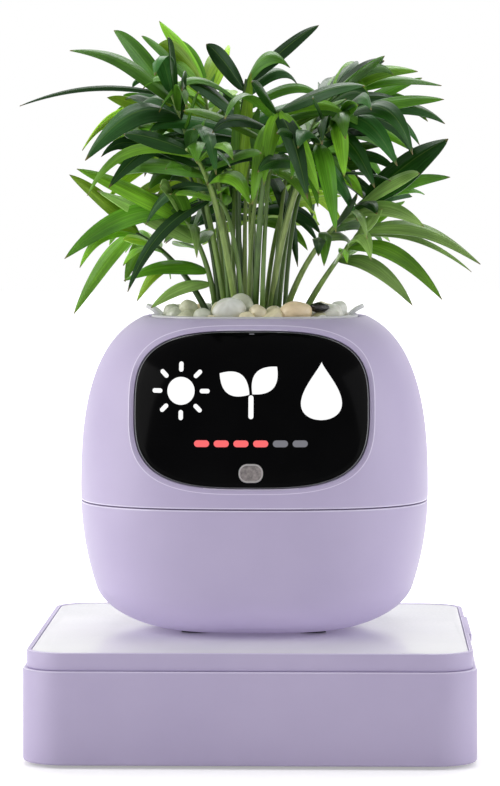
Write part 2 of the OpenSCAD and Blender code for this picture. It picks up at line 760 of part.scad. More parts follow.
// Two cheeks and a low cross bar that carry the display on the front of the well.
module display_cradle() {
  cheek_t = 3;
  plate_t = 2;
  reach = display_rise - 1;
  tilt = tan(display_tilt);
  back = display_y - cradle_back;
  face = display_depth + 0.1;
  profile = [[-back, -reach], [-back, reach], [-reach * tilt - face, reach], [reach * tilt - face, -reach]];
  color([0.25, 0.25, 0.27]) translate(pot_place) translate(display_place) {
    for (x = [-display_w / 2 + 1, display_w / 2 - 1 - cheek_t])
      translate([x, 0, 0]) rotate([90, 0, -90]) mirror([0, 0, 1]) linear_extrude(cheek_t) polygon(profile);
    translate([-display_w / 2 + 1, back - plate_t, -reach]) cube([display_w - 2, plate_t, reach * 0.67]);
  }
}

// A flat flexible lead from the display's lower edge down to the main board.
module display_ribbon() {
  width = 12;
  t = 0.4;
  top_y = -display_y + 0.5 - tan(display_tilt) * display_h / 2;
  top_z = screen_z - display_h / 2;
  low_y = board_y - board_d / 2 + 6;
  low_z = board_z + board_t + 2.6;
  route = [[top_y, top_z], [top_y, top_z - 18], [low_y, low_z + 6], [low_y, low_z]];
  color(copper) translate(pot_place) translate([-width / 2, 0, 0]) rotate([90, 0, 90]) linear_extrude(width)
    polygon(concat(route, [for (i = [len(route) - 1 : -1 : 0]) route[i] + [t, 0]]));
}

module touch_pads() {
  z = screen_z - 16;
  color(copper) translate(pot_place) for (turn = [90, -90]) rotate([0, 0, turn])
    front_plate(16, 12, z, shell_wall + 0.6, shell_wall + 0.9, [0.3, 1]);
}

// Well and liner

module well() {
  color(white) translate(pot_place) difference() {
    union() {
      squircle_plate(well_hw, well_z, well_top);
      squircle_plate(flange_hw, well_top - flange_t, well_top);
    }
    squircle_plate(well_in_hw, well_z + well_wall, well_top + 1);
    at_corners(well_screw_at, well_screw_at)
      peg(well_screw_r + fit_gap, well_top - flange_t - 1, well_top + 1);
  }
}

module well_gasket() {
  color(black) translate(pot_place) difference() {
    squircle_ring(flange_hw, opening_hw + 0.3, well_top, collar_z);
    at_corners(well_screw_at, well_screw_at) peg(well_screw_r + fit_gap, well_top - 1, collar_z + 1);
  }
}

module well_screws() {
  under = well_top - flange_t;
  color(steel) translate(pot_place) at_corners(well_screw_at, well_screw_at) {
    peg(1.9 * well_screw_r, under - 1.4, under);
    peg(well_screw_r, under - 1.4, collar_z + collar_h * 0.6);
  }
}

// A copper strip stuck to the flat at the back of the well, which senses the soil's moisture.
module moisture_strip() {
  flat = squircle(well_hw)[plan_sides / 4][1];
  low = well_z + strip_margin;
  high = well_top - 2.5 * strip_margin;
  color(copper) translate(pot_place) translate([-strip_w / 2, flat + 0.05, low])
    cube([strip_w, 0.4, high - low]);
}

module liner() {
  color(white) translate(pot_place) {
    difference() {
      union() {
        squircle_plate(liner_hw, liner_z, liner_top);
        squircle_plate(liner_collar_hw, well_top, liner_top);
      }
      squircle_plate(liner_in_hw, liner_z + liner_wall, liner_top + 1);
      for (turn = [0 : 45 : 315]) rotate([0, 0, turn]) translate([liner_in_hw / 2, 0, 0])
        peg(drain_r, liner_z - 1, liner_z + liner_wall + 1);
      peg(drain_r, liner_z - 1, liner_z + liner_wall + 1);
    }
    for (turn = [0, 180]) rotate([0, 0, turn]) lifting_ear();
  }
}

// A tab that flares up and out over the rim, with its underside clear of the pot.
module lifting_ear() {
  foot = liner_in_hw + 0.2;
  edge = liner_collar_hw;
  profile = [
    [foot, liner_top - 1], [edge - 0.3, liner_top - 1], [edge - 0.3, liner_top + 0.4],
    [edge + ear_reach, liner_top + ear_rise - ear_t * 0.8],
    [edge + ear_reach - ear_t * 0.4, liner_top + ear_rise], [foot, liner_top + ear_t * 0.7],
  ];
  translate([0, ear_len / 2, 0]) rotate([90, 0, 0]) linear_extrude(ear_len) polygon(profile);
}

module soil() {
  color(soil_brown) translate(pot_place) squircle_plate(soil_hw, liner_z + liner_wall + 0.1, soil_z);
}

// Boards and battery

module main_board() {
  color(board_green) translate(pot_place) translate([0, board_y, 0]) difference() {
    rounded_plate(board_w, board_d, 3, board_z, board_z + board_t);
    at_corners(board_w / 2 - standoff_in, board_d / 2 - standoff_in)
      peg(board_screw_r + fit_gap, board_z - 1, board_z + board_t + 1);
  }
}

module processor_module() {
  size = [18, 24, 2.6];
  place = [-size[0] / 2 - 14, board_y - size[1] / 2 + 2, board_z + board_t];
  color(steel) translate(pot_place + place) cube(size);
}

module board_connectors() {
  top = board_z + board_t;
  color(white) translate(pot_place) {
    translate([-8, board_y - board_d / 2 + 4, top]) cube([16, 5, 2.4]);
    for (x = [2, 11]) translate([x, board_y + board_d / 2 - 9, top]) cube([8, 6, 5]);
  }
}

module board_screws() {
  top = board_z + board_t;
  port_top = port_board_z + board_t;
  color(steel) translate(pot_place) {
    translate([0, board_y, 0]) at_corners(board_w / 2 - standoff_in, board_d / 2 - standoff_in) {
      peg(board_screw_head, top, top + 1.2);
      peg(board_screw_r, top - board_t - 4, top + 1.2);
    }
    for (x = [-1, 1]) translate([x * (port_board_w / 2 - standoff_in), port_board_front + standoff_in, 0]) {
      peg(board_screw_head, port_top, port_top + 1.2);
      peg(board_screw_r, port_top - board_t - 4, port_top + 1.2);
    }
  }
}

module battery_cell() {
  z = floor_top + holder_wall + cell_r + fit_gap;
  nub = 1.2;
  color([0.20, 0.35, 0.60]) translate(pot_place) translate([0, cell_y, z]) rotate([0, 90, 0]) {
    peg(cell_r, -cell_len / 2, cell_len / 2 - nub);
    peg(cell_r * 0.35, cell_len / 2 - nub, cell_len / 2);
  }
}

module battery_holder() {
  half = cell_r + fit_gap;
  length = cell_len + 2 * fit_gap;
  color(black) translate(pot_place) translate([0, cell_y, floor_top]) difference() {
    translate([-length / 2 - holder_wall, -half - holder_wall, 0])
      cube([length + 2 * holder_wall, 2 * half + 2 * holder_wall, half * 1.2]);
    translate([-length / 2, 0, holder_wall + half]) rotate([0, 90, 0]) cylinder(r = half, h = length);
    translate([-length / 2, -half, holder_wall + half]) cube([length, 2 * half, half + 1]);
  }
}

// Rear ports

module port_panel() {
  color(lavender_dark) translate(pot_place) translate([0, 0, port_z]) difference() {
    union() {
      rounded_bar(port_w, port_h, 3 - fit_gap, port_face - port_t - 0.1, port_face);
      rounded_bar(
        port_w + 2 * port_flange, port_h + 2 * port_flange, 3,
        port_back, port_face - port_t - 0.1
      );
    }
    translate([socket_x, 0, 0]) rounded_bar(
      socket_w + 2 * fit_gap, socket_h + 2 * fit_gap, socket_h / 2 + fit_gap - 0.05,
      port_back - 1, port_face + 1
    );
    translate([button_x, 0, 0]) rod(button_r + button_gap, port_back - 1, port_face + 1);
  }
}

module charging_board() {
  rear = port_back - port_board_gap;
  color(board_green) translate(pot_place) difference() {
    translate([-port_board_w / 2, port_board_front, port_board_z])
      cube([port_board_w, rear - port_board_front, board_t]);
    translate([button_x - button_r - 1.5, switch_face + 0.2, port_board_z - 1])
      cube([port_board_w, rear, board_t + 2]);
    for (x = [-1, 1]) translate([x * (port_board_w / 2 - standoff_in), port_board_front + standoff_in, 0])
      peg(board_screw_r + fit_gap, port_board_z - 1, port_board_z + board_t + 1);
  }
}

module charging_socket() {
  wall = 0.3;
  r = socket_h / 2 - 0.05;
  color(steel) translate(pot_place) translate([socket_x, 0, port_z]) {
    difference() {
      rounded_bar(socket_w, socket_h, r, port_face - socket_d, port_face - 0.2);
      rounded_bar(
        socket_w - 2 * wall, socket_h - 2 * wall, r - wall, port_face - socket_d + 1, port_face
      );
    }
    translate([-3.3, port_face - socket_d + 0.5, -0.35]) cube([6.6, 5.2, 0.7]);
  }
}

module power_switch() {
  bottom = port_board_z + board_t;
  color([0.2, 0.2, 0.2]) translate(pot_place) {
    translate([button_x - 3, switch_face - switch_d, bottom]) cube([6, switch_d - 0.8, 5.6]);
    translate([button_x, 0, port_z]) rod(1.5, switch_face - 1, switch_face);
  }
}

module power_button() {
  color(lavender) translate(pot_place) translate([button_x, 0, port_z]) {
    rod(button_r, button_end + 2.4, port_face + button_proud);
    rod(button_r + 0.9, button_end + 2.4, button_end + 2.4 + button_flange_t);
    rod(1.6, button_end, button_end + 2.6);
  }
}

// Pebbles: a smooth stone is two blended balls, squeezed to its size and stood on the soil.

module stone(size) {
  scale(size / 2) hull() {
    translate([-0.22, -0.05, 0]) sphere(0.8, $fn = 8);
    translate([0.3, 0.08, 0.06]) sphere(0.68, $fn = 6);
  }
}
module stone_at(place, turn, size) {
  translate([place[0], place[1], stone_mid(size[2])]) rotate([0, 0, turn]) stone(size);
}
function stone_mid(height) = soil_z + 0.1 + height * 0.4;
function wobble(i, k) = sin(i * 67 + k * 131);

module pebbles() {
  color(pebble_cream) translate(pot_place) intersection() {
    squircle_plate(soil_hw, soil_z, pot_h + 20);
    stones();
  }
}

module stones() {
  for (s = FRONT_STONES) stone_at(stone_unit * s[0], s[2], stone_unit * s[1]);
  for (k = [0 : len(STONE_ROWS) - 1], i = [0 : STONE_ROWS[k][3] - 1]) {
    row = STONE_ROWS[k];
    turn = row[1] + (row[2] - row[1]) * i / (row[3] - 1);
    way = [signed_power(cos(turn), 2 / plan_power), signed_power(sin(turn), 2 / plan_power)];
    place = stone_unit * row[0] * way;
    size = stone_unit * [9.6 + 2 * wobble(i, k), 8.2 + wobble(i, k + 1), 8 + 1.4 * wobble(i, k + 2)];
    clear = min([for (f = FRONDS) norm(place - plant_unit * f[0])]) - stalk_r;
    if (clear > size[0] / 2 + 1) stone_at(place, turn + 90 + 20 * wobble(i, 5), size);
  }
}

// A small dark stone that lies on the flat crown of a front stone.
module dark_pebble() {
  under = FRONT_STONES[DARK_SEAT];
  seat = stone_unit * under[1][2];
  size = stone_unit * [6.6, 5.4, 4];
  crown = stone_mid(seat) + seat * 0.4 * cos(180 / 8);
  place = stone_unit * under[0];
  color(black) translate(pot_place + [place[0], place[1], crown + size[2] / 2 * cos(180 / 10) + 0.02])
    rotate([0, 0, 15]) scale(size / 2) sphere(1, $fn = 10);
}

// Palm fronds

// A point on a frond's stalk, and its direction there; the share runs from 0 at the soil to 1 at the tip.
function stalk_foot(f) = [f[0][0], f[0][1], 0];
function stalk_at(f, t) =
  plant_unit * ((1 - t) * (1 - t) * stalk_foot(f) + 2 * t * (1 - t) * f[1] + t * t * f[2]);
function stalk_way(f, t) = unit((1 - t) * (f[1] - stalk_foot(f)) + t * (f[2] - f[1]));
function unit(v) = v / norm(v);

// A leaflet's half width along its length, widest before the middle.
function blade(v) = sin(180 * pow(v, 0.75));

// One leaflet on a bowed midrib from root to tip: stations of a flat diamond that faces a given way.
module leaflet(root, bow, tip, width, facing) {
  shares = [0.02, 0.26, 0.52, 0.78, 0.985];
  across = unit(cross(tip - root, facing));
  loops = [
    for (v = shares)
      let (
        mid = (1 - v) * (1 - v) * root + 2 * v * (1 - v) * bow + v * v * tip,
        way = unit((1 - v) * (bow - root) + v * (tip - bow)),
        face = unit(cross(across, way)),
        w = width / 2 * max(blade(v), 0.1),
        h = leaf_t / 2 * (1 - 0.6 * v)
      ) [mid + across * w, mid - face * h, mid - across * w, mid + face * h]
  ];
  loft(loops, true);
}

// A stalk with its leaflets, standing on the soil.
module frond_shape(i) {
  f = FRONDS[i];
  pairs = f[5];
  bare = f[6];
  steps = 8;
  plan = unit([f[2][0] - f[0][0], f[2][1] - f[0][1], 0]);
  side = [-plan[1], plan[0], 0];
  facing = [0, f[2][1] < 20 ? -leaf_turn : leaf_turn, 1];
  for (k = [0 : steps - 1]) hull() {
    stalk_bead(f, k / steps);
    stalk_bead(f, (k + 1) / steps);
  }
  for (j = [0 : pairs - 1], s = [-1, 1]) {
    share = (j + (s > 0 ? 0.4 : 0)) / pairs;
    t = bare + (1 - bare) * share;
    spread = 66 - 34 * share;
    root = stalk_at(f, t);
    way = unit(stalk_way(f, t) * cos(spread) + side * s * sin(spread));
    length = plant_unit * f[3] * (0.84 + 0.16 * sin(180 * share));
    drop = 0.34 + 0.1 * wobble(j, i);
    leaflet(
      root, root + way * length * 0.55, root + way * length * 0.9 - [0, 0, length * drop],
      plant_unit * f[4] * (0.85 + 0.15 * wobble(i, j)), facing + [0, 0.5 * wobble(j, i + 3), 0]
    );
  }
  for (l = LONG_LEAFLETS) if (l[0] == i + 1) {
    root = stalk_at(f, l[1]);
    tip = plant_unit * l[2];
    leaflet(root, (root + tip) / 2 + [0, 0, plant_unit * l[4]], tip, plant_unit * l[3], facing);
  }
}

// Each frond gives way to the ones before it, so that crossing leaflets only touch.
module frond(i) {
  color(leaf_green) translate(pot_place + [0, 0, soil_z]) difference() {
    frond_shape(i);
    if (i > 0) for (j = [0 : i - 1]) frond_shape(j);
  }
}

// The stalk's section at a share of its length; the foot stands flat on the soil.
module stalk_bead(f, t) {
  r = stalk_r + (stalk_tip_r - stalk_r) * t;
  lift = t == 0 ? 0 : -r / 2;
  translate(stalk_at(f, t) + [0, 0, lift]) cylinder(r = r, h = r, $fn = 6);
}

base_shell();
base_floor();
base_tray();
base_top_panel();
tray_tab();
base_foot_pad();
base_screws();
tray_screws();
upper_shell();
lower_shell();
seam_gasket();
screen_lens();
screen_gasket();
sensor_window();
light_sensor();
display_panel();
display_cradle();
display_ribbon();
touch_pads();
well();
well_gasket();
well_screws();
moisture_strip();
case_screws();
pot_feet();
main_board();
processor_module();
board_connectors();
board_screws();
battery_cell();
battery_holder();
port_panel();
charging_board();
charging_socket();
power_switch();
power_button();
liner();
soil();
pebbles();
dark_pebble();
for (i = [0 : len(FRONDS) - 1])
  frond(i);
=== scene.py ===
# %% [markdown]
# # A smart plant pot, dressed in Blender
# The part is a lavender desk planter with a curved black screen, a lift-out liner of pebbles and palm, and a
# block base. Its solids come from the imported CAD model, which is loaded first as a fixed frame. Each step
# below models one piece over its solid, at the same size and place, and names the body that it moves with.

# %% Load the frame
import bmesh
import bpy
import json
import math
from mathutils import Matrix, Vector, noise


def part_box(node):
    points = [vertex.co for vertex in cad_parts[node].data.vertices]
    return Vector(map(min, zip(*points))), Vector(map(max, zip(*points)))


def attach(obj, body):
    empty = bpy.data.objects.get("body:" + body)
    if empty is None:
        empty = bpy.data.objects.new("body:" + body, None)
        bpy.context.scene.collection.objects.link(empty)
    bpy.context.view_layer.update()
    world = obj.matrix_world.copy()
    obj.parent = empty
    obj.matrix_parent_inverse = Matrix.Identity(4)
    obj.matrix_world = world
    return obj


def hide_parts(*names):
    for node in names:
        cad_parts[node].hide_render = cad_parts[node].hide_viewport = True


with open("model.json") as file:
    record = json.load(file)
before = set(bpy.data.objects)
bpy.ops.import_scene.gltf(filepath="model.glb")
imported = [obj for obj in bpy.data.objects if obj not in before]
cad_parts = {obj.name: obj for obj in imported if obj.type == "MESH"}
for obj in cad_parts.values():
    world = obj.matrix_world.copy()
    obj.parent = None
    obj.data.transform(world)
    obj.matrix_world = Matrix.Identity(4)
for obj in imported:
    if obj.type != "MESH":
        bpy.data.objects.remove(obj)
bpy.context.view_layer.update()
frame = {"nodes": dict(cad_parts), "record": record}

# %% [markdown]
# The sizes below repeat the driving sizes of the CAD source in millimetres. The last row of numbers rounds
# the edges along the seam and the rim. Pieces of the pot are modelled round the pot's own axis, with the
# feet at height 0, because round forms are easiest to draw about the origin. They are then moved to where
# the frame says that the pot stands.

# %% Sizes of the pot
MM = 0.001
POT_W, POT_H, RIM_W, FOOT_W = 128, 115, 82, 103
WIDE_Z, SEAM_Z, SEAM_GAP, SEAM_GROOVE = 51, 48, 0.4, 0.6
FOOT_ROUND, FOOT_TUCK = 16, 26
SHOULDER_POWER, SHOULDER_RISE, PLAN_POWER = 4.4, 2.5, 2.8
SHELL_WALL, COLLAR_H, RIM_LIP = 3, 3.2, 2.6
FOOT_T, FLOOR_T = 0.8, 2.6
EDGE_H, EDGE_STEP, EDGE_ROUND, RIM_EDGE = 0.5, 0.1, 0.3, 0.8
pot_hw = POT_W / 2
lower_drop = WIDE_Z / math.sqrt(1 - (FOOT_W / POT_W) ** 2)
upper_rise = (POT_H - WIDE_Z) / (1 - (RIM_W / POT_W) ** SHOULDER_POWER) ** (1 / SHOULDER_RISE)
well_low, well_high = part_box("well")
pot_place = Vector((0, (well_low.y + well_high.y) / 2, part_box("pot_feet")[0].z))
print("The pot stands at", [round(v, 4) for v in pot_place])

# %% [markdown]
# The pot's side is an ellipse below its widest point and a squarer curve above it. Seen from the top it is
# a rounded square, a superellipse. Two formulas give both, so every piece that follows the shell, such as
# the lens, can ask them where the surface is.

# %% The pot's surface
def half_width(z):
    """Half the pot's width at a height."""
    if z >= WIDE_Z:
        return pot_hw * (1 - ((z - WIDE_Z) / upper_rise) ** SHOULDER_RISE) ** (1 / SHOULDER_POWER)
    trim = 0
    if z < FOOT_ROUND:
        trim = FOOT_TUCK * (1 - math.sqrt(1 - (1 - z / FOOT_ROUND) ** 2))
    return pot_hw * math.sqrt(1 - ((WIDE_Z - z) / lower_drop) ** 2) - trim


def face_depth(x, z, inset):
    """How far the front or back face lies from the axis at a place, set in by a depth."""
    rest = max((half_width(z) - inset) ** PLAN_POWER - abs(x) ** PLAN_POWER, 0)
    return rest ** (1 / PLAN_POWER)


def plan_reach(x, y):
    """The half width of the rounded square that passes through a point."""
    return (abs(x) ** PLAN_POWER + abs(y) ** PLAN_POWER) ** (1 / PLAN_POWER)


print("Half width at the seam:", round(half_width(SEAM_Z), 2), "at the rim:", round(half_width(POT_H), 2))

# %% [markdown]
# Operators act on what is selected, and the loaded frame is selected all over. These helpers clear the
# selection, take one piece in hand, open it in edit mode and select its points, edges or faces by a test.
# Two more copy a piece and join several into one.

# %% Helpers to take a piece in hand
def clear_selection():
    if bpy.context.mode != "OBJECT":
        bpy.ops.object.mode_set(mode="OBJECT")
    bpy.ops.object.select_all(action="DESELECT")


def take(*pieces):
    """Select these pieces alone, with the first one active."""
    clear_selection()
    for piece in pieces:
        piece.select_set(True)
    bpy.context.view_layer.objects.active = pieces[0]
    return pieces[0]


def edit(piece):
    """Open a piece in edit mode with all of it selected."""
    take(piece)
    bpy.ops.object.mode_set(mode="EDIT")
    bpy.ops.mesh.select_mode(type="VERT")
    bpy.ops.mesh.select_all(action="SELECT")


def choose(piece, kind, test):
    """Select the points, edges or faces that pass a test, in edit mode."""
    bpy.ops.mesh.select_mode(type=kind)
    bpy.ops.mesh.select_all(action="DESELECT")
    mesh = bmesh.from_edit_mesh(piece.data)
    for part in {"VERT": mesh.verts, "EDGE": mesh.edges, "FACE": mesh.faces}[kind]:
        if test(part):
            part.select_set(True)
    mesh.select_flush_mode()
    bmesh.update_edit_mesh(piece.data)


def new_piece(name):
    """Name the object that an operator has just made."""
    piece = bpy.context.object
    piece.name = name
    piece.data.name = name
    return piece


def copy_piece(pattern, name):
    """A copy of a piece with a mesh of its own."""
    piece = pattern.copy()
    piece.data = pattern.data.copy()
    piece.name = name
    bpy.context.collection.objects.link(piece)
    return piece


def join(*pieces):
    """Join pieces into the first one."""
    take(*pieces)
    if len(pieces) > 1:
        bpy.ops.object.join()
    return pieces[0]


print("Helpers are ready")

# %% [markdown]
# A finish starts from the Principled shader. Real moulded plastic is never one flat colour: the colour
# drifts a little over the part, the gloss varies, and the mould leaves a fine grain. One helper makes that
# from two noises on Object coordinates, which stay with the piece when it moves.

# %% Helpers for finishes
def srgb(red, green, blue):
    """A colour picked on screen, 0 to 255, as the linear colour that shaders use."""
    parts = []
    for value in (red, green, blue):
        share = value / 255
        parts.append(share / 12.92 if share <= 0.04045 else ((share + 0.055) / 1.055) ** 2.4)
    return (*parts, 1)


def add_node(material, kind, **values):
    """A new node, with its settings and its unlinked sockets filled in."""
    node = material.node_tree.nodes.new(kind)
    for name, value in values.items():
        if name in node.inputs:
            node.inputs[name].default_value = value
        else:
            setattr(node, name, value)
    return node


def fill_sockets(node, values):
    """Give unlinked sockets of a node their values, by name."""
    for name, value in values.items():
        node.inputs[name].default_value = value


def join_sockets(material, source, out, target, into):
    """Link one node's output to another's input, each given by its name or number."""
    material.node_tree.links.new(source.outputs[out], target.inputs[into])


def map_range(material, near, far, low, high):
    """A node that turns values from near to far into values from low to high."""
    node = add_node(material, "ShaderNodeMapRange")
    fill_sockets(node, {"From Min": near, "From Max": far, "To Min": low, "To Max": high})
    return node


# The Mix node has sockets for several kinds of value. These are the numbers of its colour sockets.
MIX_UNDER, MIX_OVER, MIX_RESULT = 6, 7, 2


def multiply_colours(material, under, over):
    """The product of two colours, which are given and returned as sockets."""
    mix = add_node(material, "ShaderNodeMix", data_type="RGBA", blend_type="MULTIPLY", Factor=1.0)
    material.node_tree.links.new(under, mix.inputs[MIX_UNDER])
    material.node_tree.links.new(over, mix.inputs[MIX_OVER])
    return mix.outputs[MIX_RESULT]


def start_finish(name):
    """An empty Principled finish with Object coordinates to hand."""
    material = bpy.data.materials.new(name)
    material.use_nodes = True
    shader = material.node_tree.nodes["Principled BSDF"]
    place = add_node(material, "ShaderNodeTexCoord")
    return material, shader, place


RAMP_LOW, RAMP_HIGH = 0.3, 0.7


def blend_colours(material, factor, out, low, high):
    """A colour that goes from low to high over the middle part of a factor between 0 and 1."""
    ramp = add_node(material, "ShaderNodeValToRGB")
    ramp.color_ramp.elements[0].color = low
    ramp.color_ramp.elements[0].position = RAMP_LOW
    ramp.color_ramp.elements[1].color = high
    ramp.color_ramp.elements[1].position = RAMP_HIGH
    join_sockets(material, factor, out, ramp, "Fac")
    return ramp


def add_grain(material, shader, place, scale, height):
    """A fine bump, at so many grains a metre and so many metres high."""
    grain = add_node(material, "ShaderNodeTexNoise", Scale=scale, Detail=2.0)
    bump = add_node(material, "ShaderNodeBump", Strength=0.5, Distance=height)
    join_sockets(material, place, "Object", grain, "Vector")
    join_sockets(material, grain, "Fac", bump, "Height")
    join_sockets(material, bump, "Normal", shader, "Normal")
    return grain


def moulded(name, low, high, gloss, grain=2200, height=0.00004, metal=0.0, drift=28):
    """A moulded or milled finish: colour drifts from low to high, gloss between two values."""
    material, shader, place = start_finish(name)
    wander = add_node(material, "ShaderNodeTexNoise", Scale=drift, Detail=3.0)
    join_sockets(material, place, "Object", wander, "Vector")
    colour = blend_colours(material, wander, "Fac", srgb(*low), srgb(*high))
    join_sockets(material, colour, "Color", shader, "Base Color")
    fine = add_grain(material, shader, place, grain, height)
    sheen = map_range(material, 0, 1, *gloss)
    join_sockets(material, fine, "Fac", sheen, "Value")
    join_sockets(material, sheen, "Result", shader, "Roughness")
    shader.inputs["Metallic"].default_value = metal
    return material


print("Finish helpers are ready")

# %% [markdown]
# The shells and the base are one satin lavender plastic, moulded with a fine texture. The white plate, the
# liner and the well are white plastics, one glossy and one satin. Rubber, steel and dark plastic follow.

# %% Plastics, rubber and metals
lavender = moulded("lavender_plastic", (184, 173, 206), (190, 179, 211), (0.42, 0.52))
# The paler lavender is a painted highlight for thin strips along moulded edges.
painted_highlight_lavender = moulded("lavender_painted_highlight", (217, 209, 234), (224, 217, 240), (0.25, 0.35))
lavender_trim = moulded("lavender_trim", (166, 155, 186), (172, 162, 192), (0.46, 0.56))
gloss_white = moulded("gloss_white_plate", (236, 237, 240), (243, 243, 245), (0.16, 0.22), 900, 0.00001)
satin_white = moulded("satin_white_plastic", (206, 206, 210), (216, 216, 219), (0.34, 0.44))
lilac_rubber = moulded("soft_lilac_rubber", (96, 84, 112), (110, 98, 126), (0.70, 0.85), 1500, 0.00008)
rubber = moulded("soft_black_rubber", (38, 38, 40), (52, 52, 54), (0.70, 0.85), 1500, 0.00008)
dark_plastic = moulded("dark_plastic", (30, 30, 33), (42, 42, 45), (0.45, 0.60))
steel = moulded("screw_steel", (168, 168, 172), (190, 190, 194), (0.25, 0.38), 3000, 0.00001, metal=1.0)
socket_steel = moulded("socket_steel", (176, 176, 180), (196, 196, 200), (0.2, 0.3), 3000, 0.00001, metal=1.0)
shield_tin = moulded("shield_tin", (182, 182, 184), (205, 205, 207), (0.28, 0.4), 1200, 0.00001, metal=1.0)
copper = moulded("copper_foil", (190, 112, 62), (214, 136, 84), (0.25, 0.4), 1800, 0.00001, metal=1.0)
cream_plastic = moulded("connector_cream", (222, 217, 204), (233, 229, 217), (0.38, 0.5))
ribbon_film = moulded("ribbon_film", (176, 112, 40), (196, 130, 54), (0.2, 0.3), 1400, 0.00001)
cell_wrap = moulded("cell_wrap", (44, 84, 150), (54, 98, 168), (0.25, 0.35), 1000, 0.00001)
print("Made", len(bpy.data.materials), "finishes so far")

# %% [markdown]
# The lens is black glass over a display. Glass over black shows only what it mirrors, so the colour is
# nearly black and the gloss is high, but little is mirrored, or the studio would turn it grey. A faint smear
# in the roughness keeps it from looking like a void.

# %% Glass, sensor window and lit pixels
lens_glass, shader, place = start_finish("black_lens_glass")
smear = add_node(lens_glass, "ShaderNodeTexNoise", Scale=60.0, Detail=4.0)
join_sockets(lens_glass, place, "Object", smear, "Vector")
depth = blend_colours(lens_glass, smear, "Fac", srgb(2, 2, 3), srgb(5, 5, 6))
join_sockets(lens_glass, depth, "Color", shader, "Base Color")
polish = map_range(lens_glass, 0, 1, 0.09, 0.16)
join_sockets(lens_glass, smear, "Fac", polish, "Value")
join_sockets(lens_glass, polish, "Result", shader, "Roughness")
shader.inputs["Specular IOR Level"].default_value = 0.025
# The rounded edge of the lens gets a grey finish, a painted glint along the glass.
lens_edge_glint = moulded("lens_edge_painted_glint", (84, 84, 90), (108, 108, 114), (0.12, 0.20), 1200, 0.00001)


PIXEL_SCALE, PIXEL_DIM = 5000.0, 0.97


def lit_pixels(name, colour, strength):
    """Light from the display: an even glow with the faint grid of its pixels."""
    material, shader, place = start_finish(name)
    grid = add_node(material, "ShaderNodeTexVoronoi", Scale=PIXEL_SCALE)
    join_sockets(material, place, "Object", grid, "Vector")
    dim = tuple(part * PIXEL_DIM for part in colour[:3]) + (1,)
    glow = blend_colours(material, grid, "Distance", colour, dim)
    join_sockets(material, glow, "Color", shader, "Emission Color")
    fill_sockets(shader, {
        "Emission Strength": strength, "Base Color": (0.01, 0.01, 0.01, 1), "Specular IOR Level": 0.2,
    })
    return material


white_glow = lit_pixels("white_pixels", srgb(255, 255, 255), 1.0)
coral_glow = lit_pixels("coral_pixels", srgb(254, 104, 107), 1.0)
dim_glow = lit_pixels("dim_white_pixels", srgb(128, 128, 136), 0.8)
window_face = moulded("sensor_window_grey", (96, 90, 90), (146, 138, 137), (0.2, 0.4), drift=900)
window_rim = moulded("sensor_window_rim", (170, 166, 166), (196, 192, 192), (0.2, 0.3))
print("Glass, window and pixel finishes are ready")

# %% [markdown]
# Circuit boards are green with fine copper tracks under the lacquer. A brick pattern at the scale of the
# tracks is enough for pieces that are only seen when someone opens the model.

# %% Circuit boards and the display module
circuit_board, shader, place = start_finish("circuit_board_green")
tracks = add_node(circuit_board, "ShaderNodeTexBrick", Scale=260.0)
fill_sockets(tracks, {"Color1": srgb(20, 88, 52), "Color2": srgb(24, 98, 58), "Mortar": srgb(58, 132, 78)})
join_sockets(circuit_board, place, "Object", tracks, "Vector")
join_sockets(circuit_board, tracks, "Color", shader, "Base Color")
add_grain(circuit_board, shader, place, 1200, 0.00003)
shader.inputs["Roughness"].default_value = 0.35
display_black = moulded("display_module_black", (8, 8, 10), (14, 14, 16), (0.12, 0.2), 1200, 0.00001)
print("Board finishes are ready")

# %% [markdown]
# The potting soil is dark brown with pale specks. The stones are river pebbles: each has its own tint, kept
# in an attribute called tint, with soft cloudy bands and a waxy gloss. The leaves read the same attribute.

# %% Soil and stone
potting_soil, shader, place = start_finish("potting_soil")
crumbs = add_node(potting_soil, "ShaderNodeTexNoise", Scale=420.0, Detail=6.0)
join_sockets(potting_soil, place, "Object", crumbs, "Vector")
earth = blend_colours(potting_soil, crumbs, "Fac", srgb(34, 25, 18), srgb(86, 66, 48))
join_sockets(potting_soil, earth, "Color", shader, "Base Color")
add_grain(potting_soil, shader, place, 500, 0.0012)
shader.inputs["Roughness"].default_value = 0.9


def river_stone(name, gloss, roughness_scale=900, height=0.00012):
    """A pebble that takes its colour from the tint attribute and clouds it, smooth or rough."""
    material, shader, place = start_finish(name)
    tint = add_node(material, "ShaderNodeAttribute", attribute_name="tint")
    cloud = add_node(material, "ShaderNodeTexNoise", Scale=150.0, Detail=5.0, Distortion=0.8)
    join_sockets(material, place, "Object", cloud, "Vector")
    veil = blend_colours(material, cloud, "Fac", (0.74, 0.73, 0.68, 1), (1.06, 1.06, 1.08, 1))
    clouded = multiply_colours(material, tint.outputs["Color"], veil.outputs["Color"])
    material.node_tree.links.new(clouded, shader.inputs["Base Color"])
    add_grain(material, shader, place, roughness_scale, height)
    shader.inputs["Roughness"].default_value = gloss
    return material


pale_stone = river_stone("river_stone", 0.28)
dark_stone = river_stone("dark_stone", 0.22, 420, 0.0016)
print("Soil and stone finishes are ready")
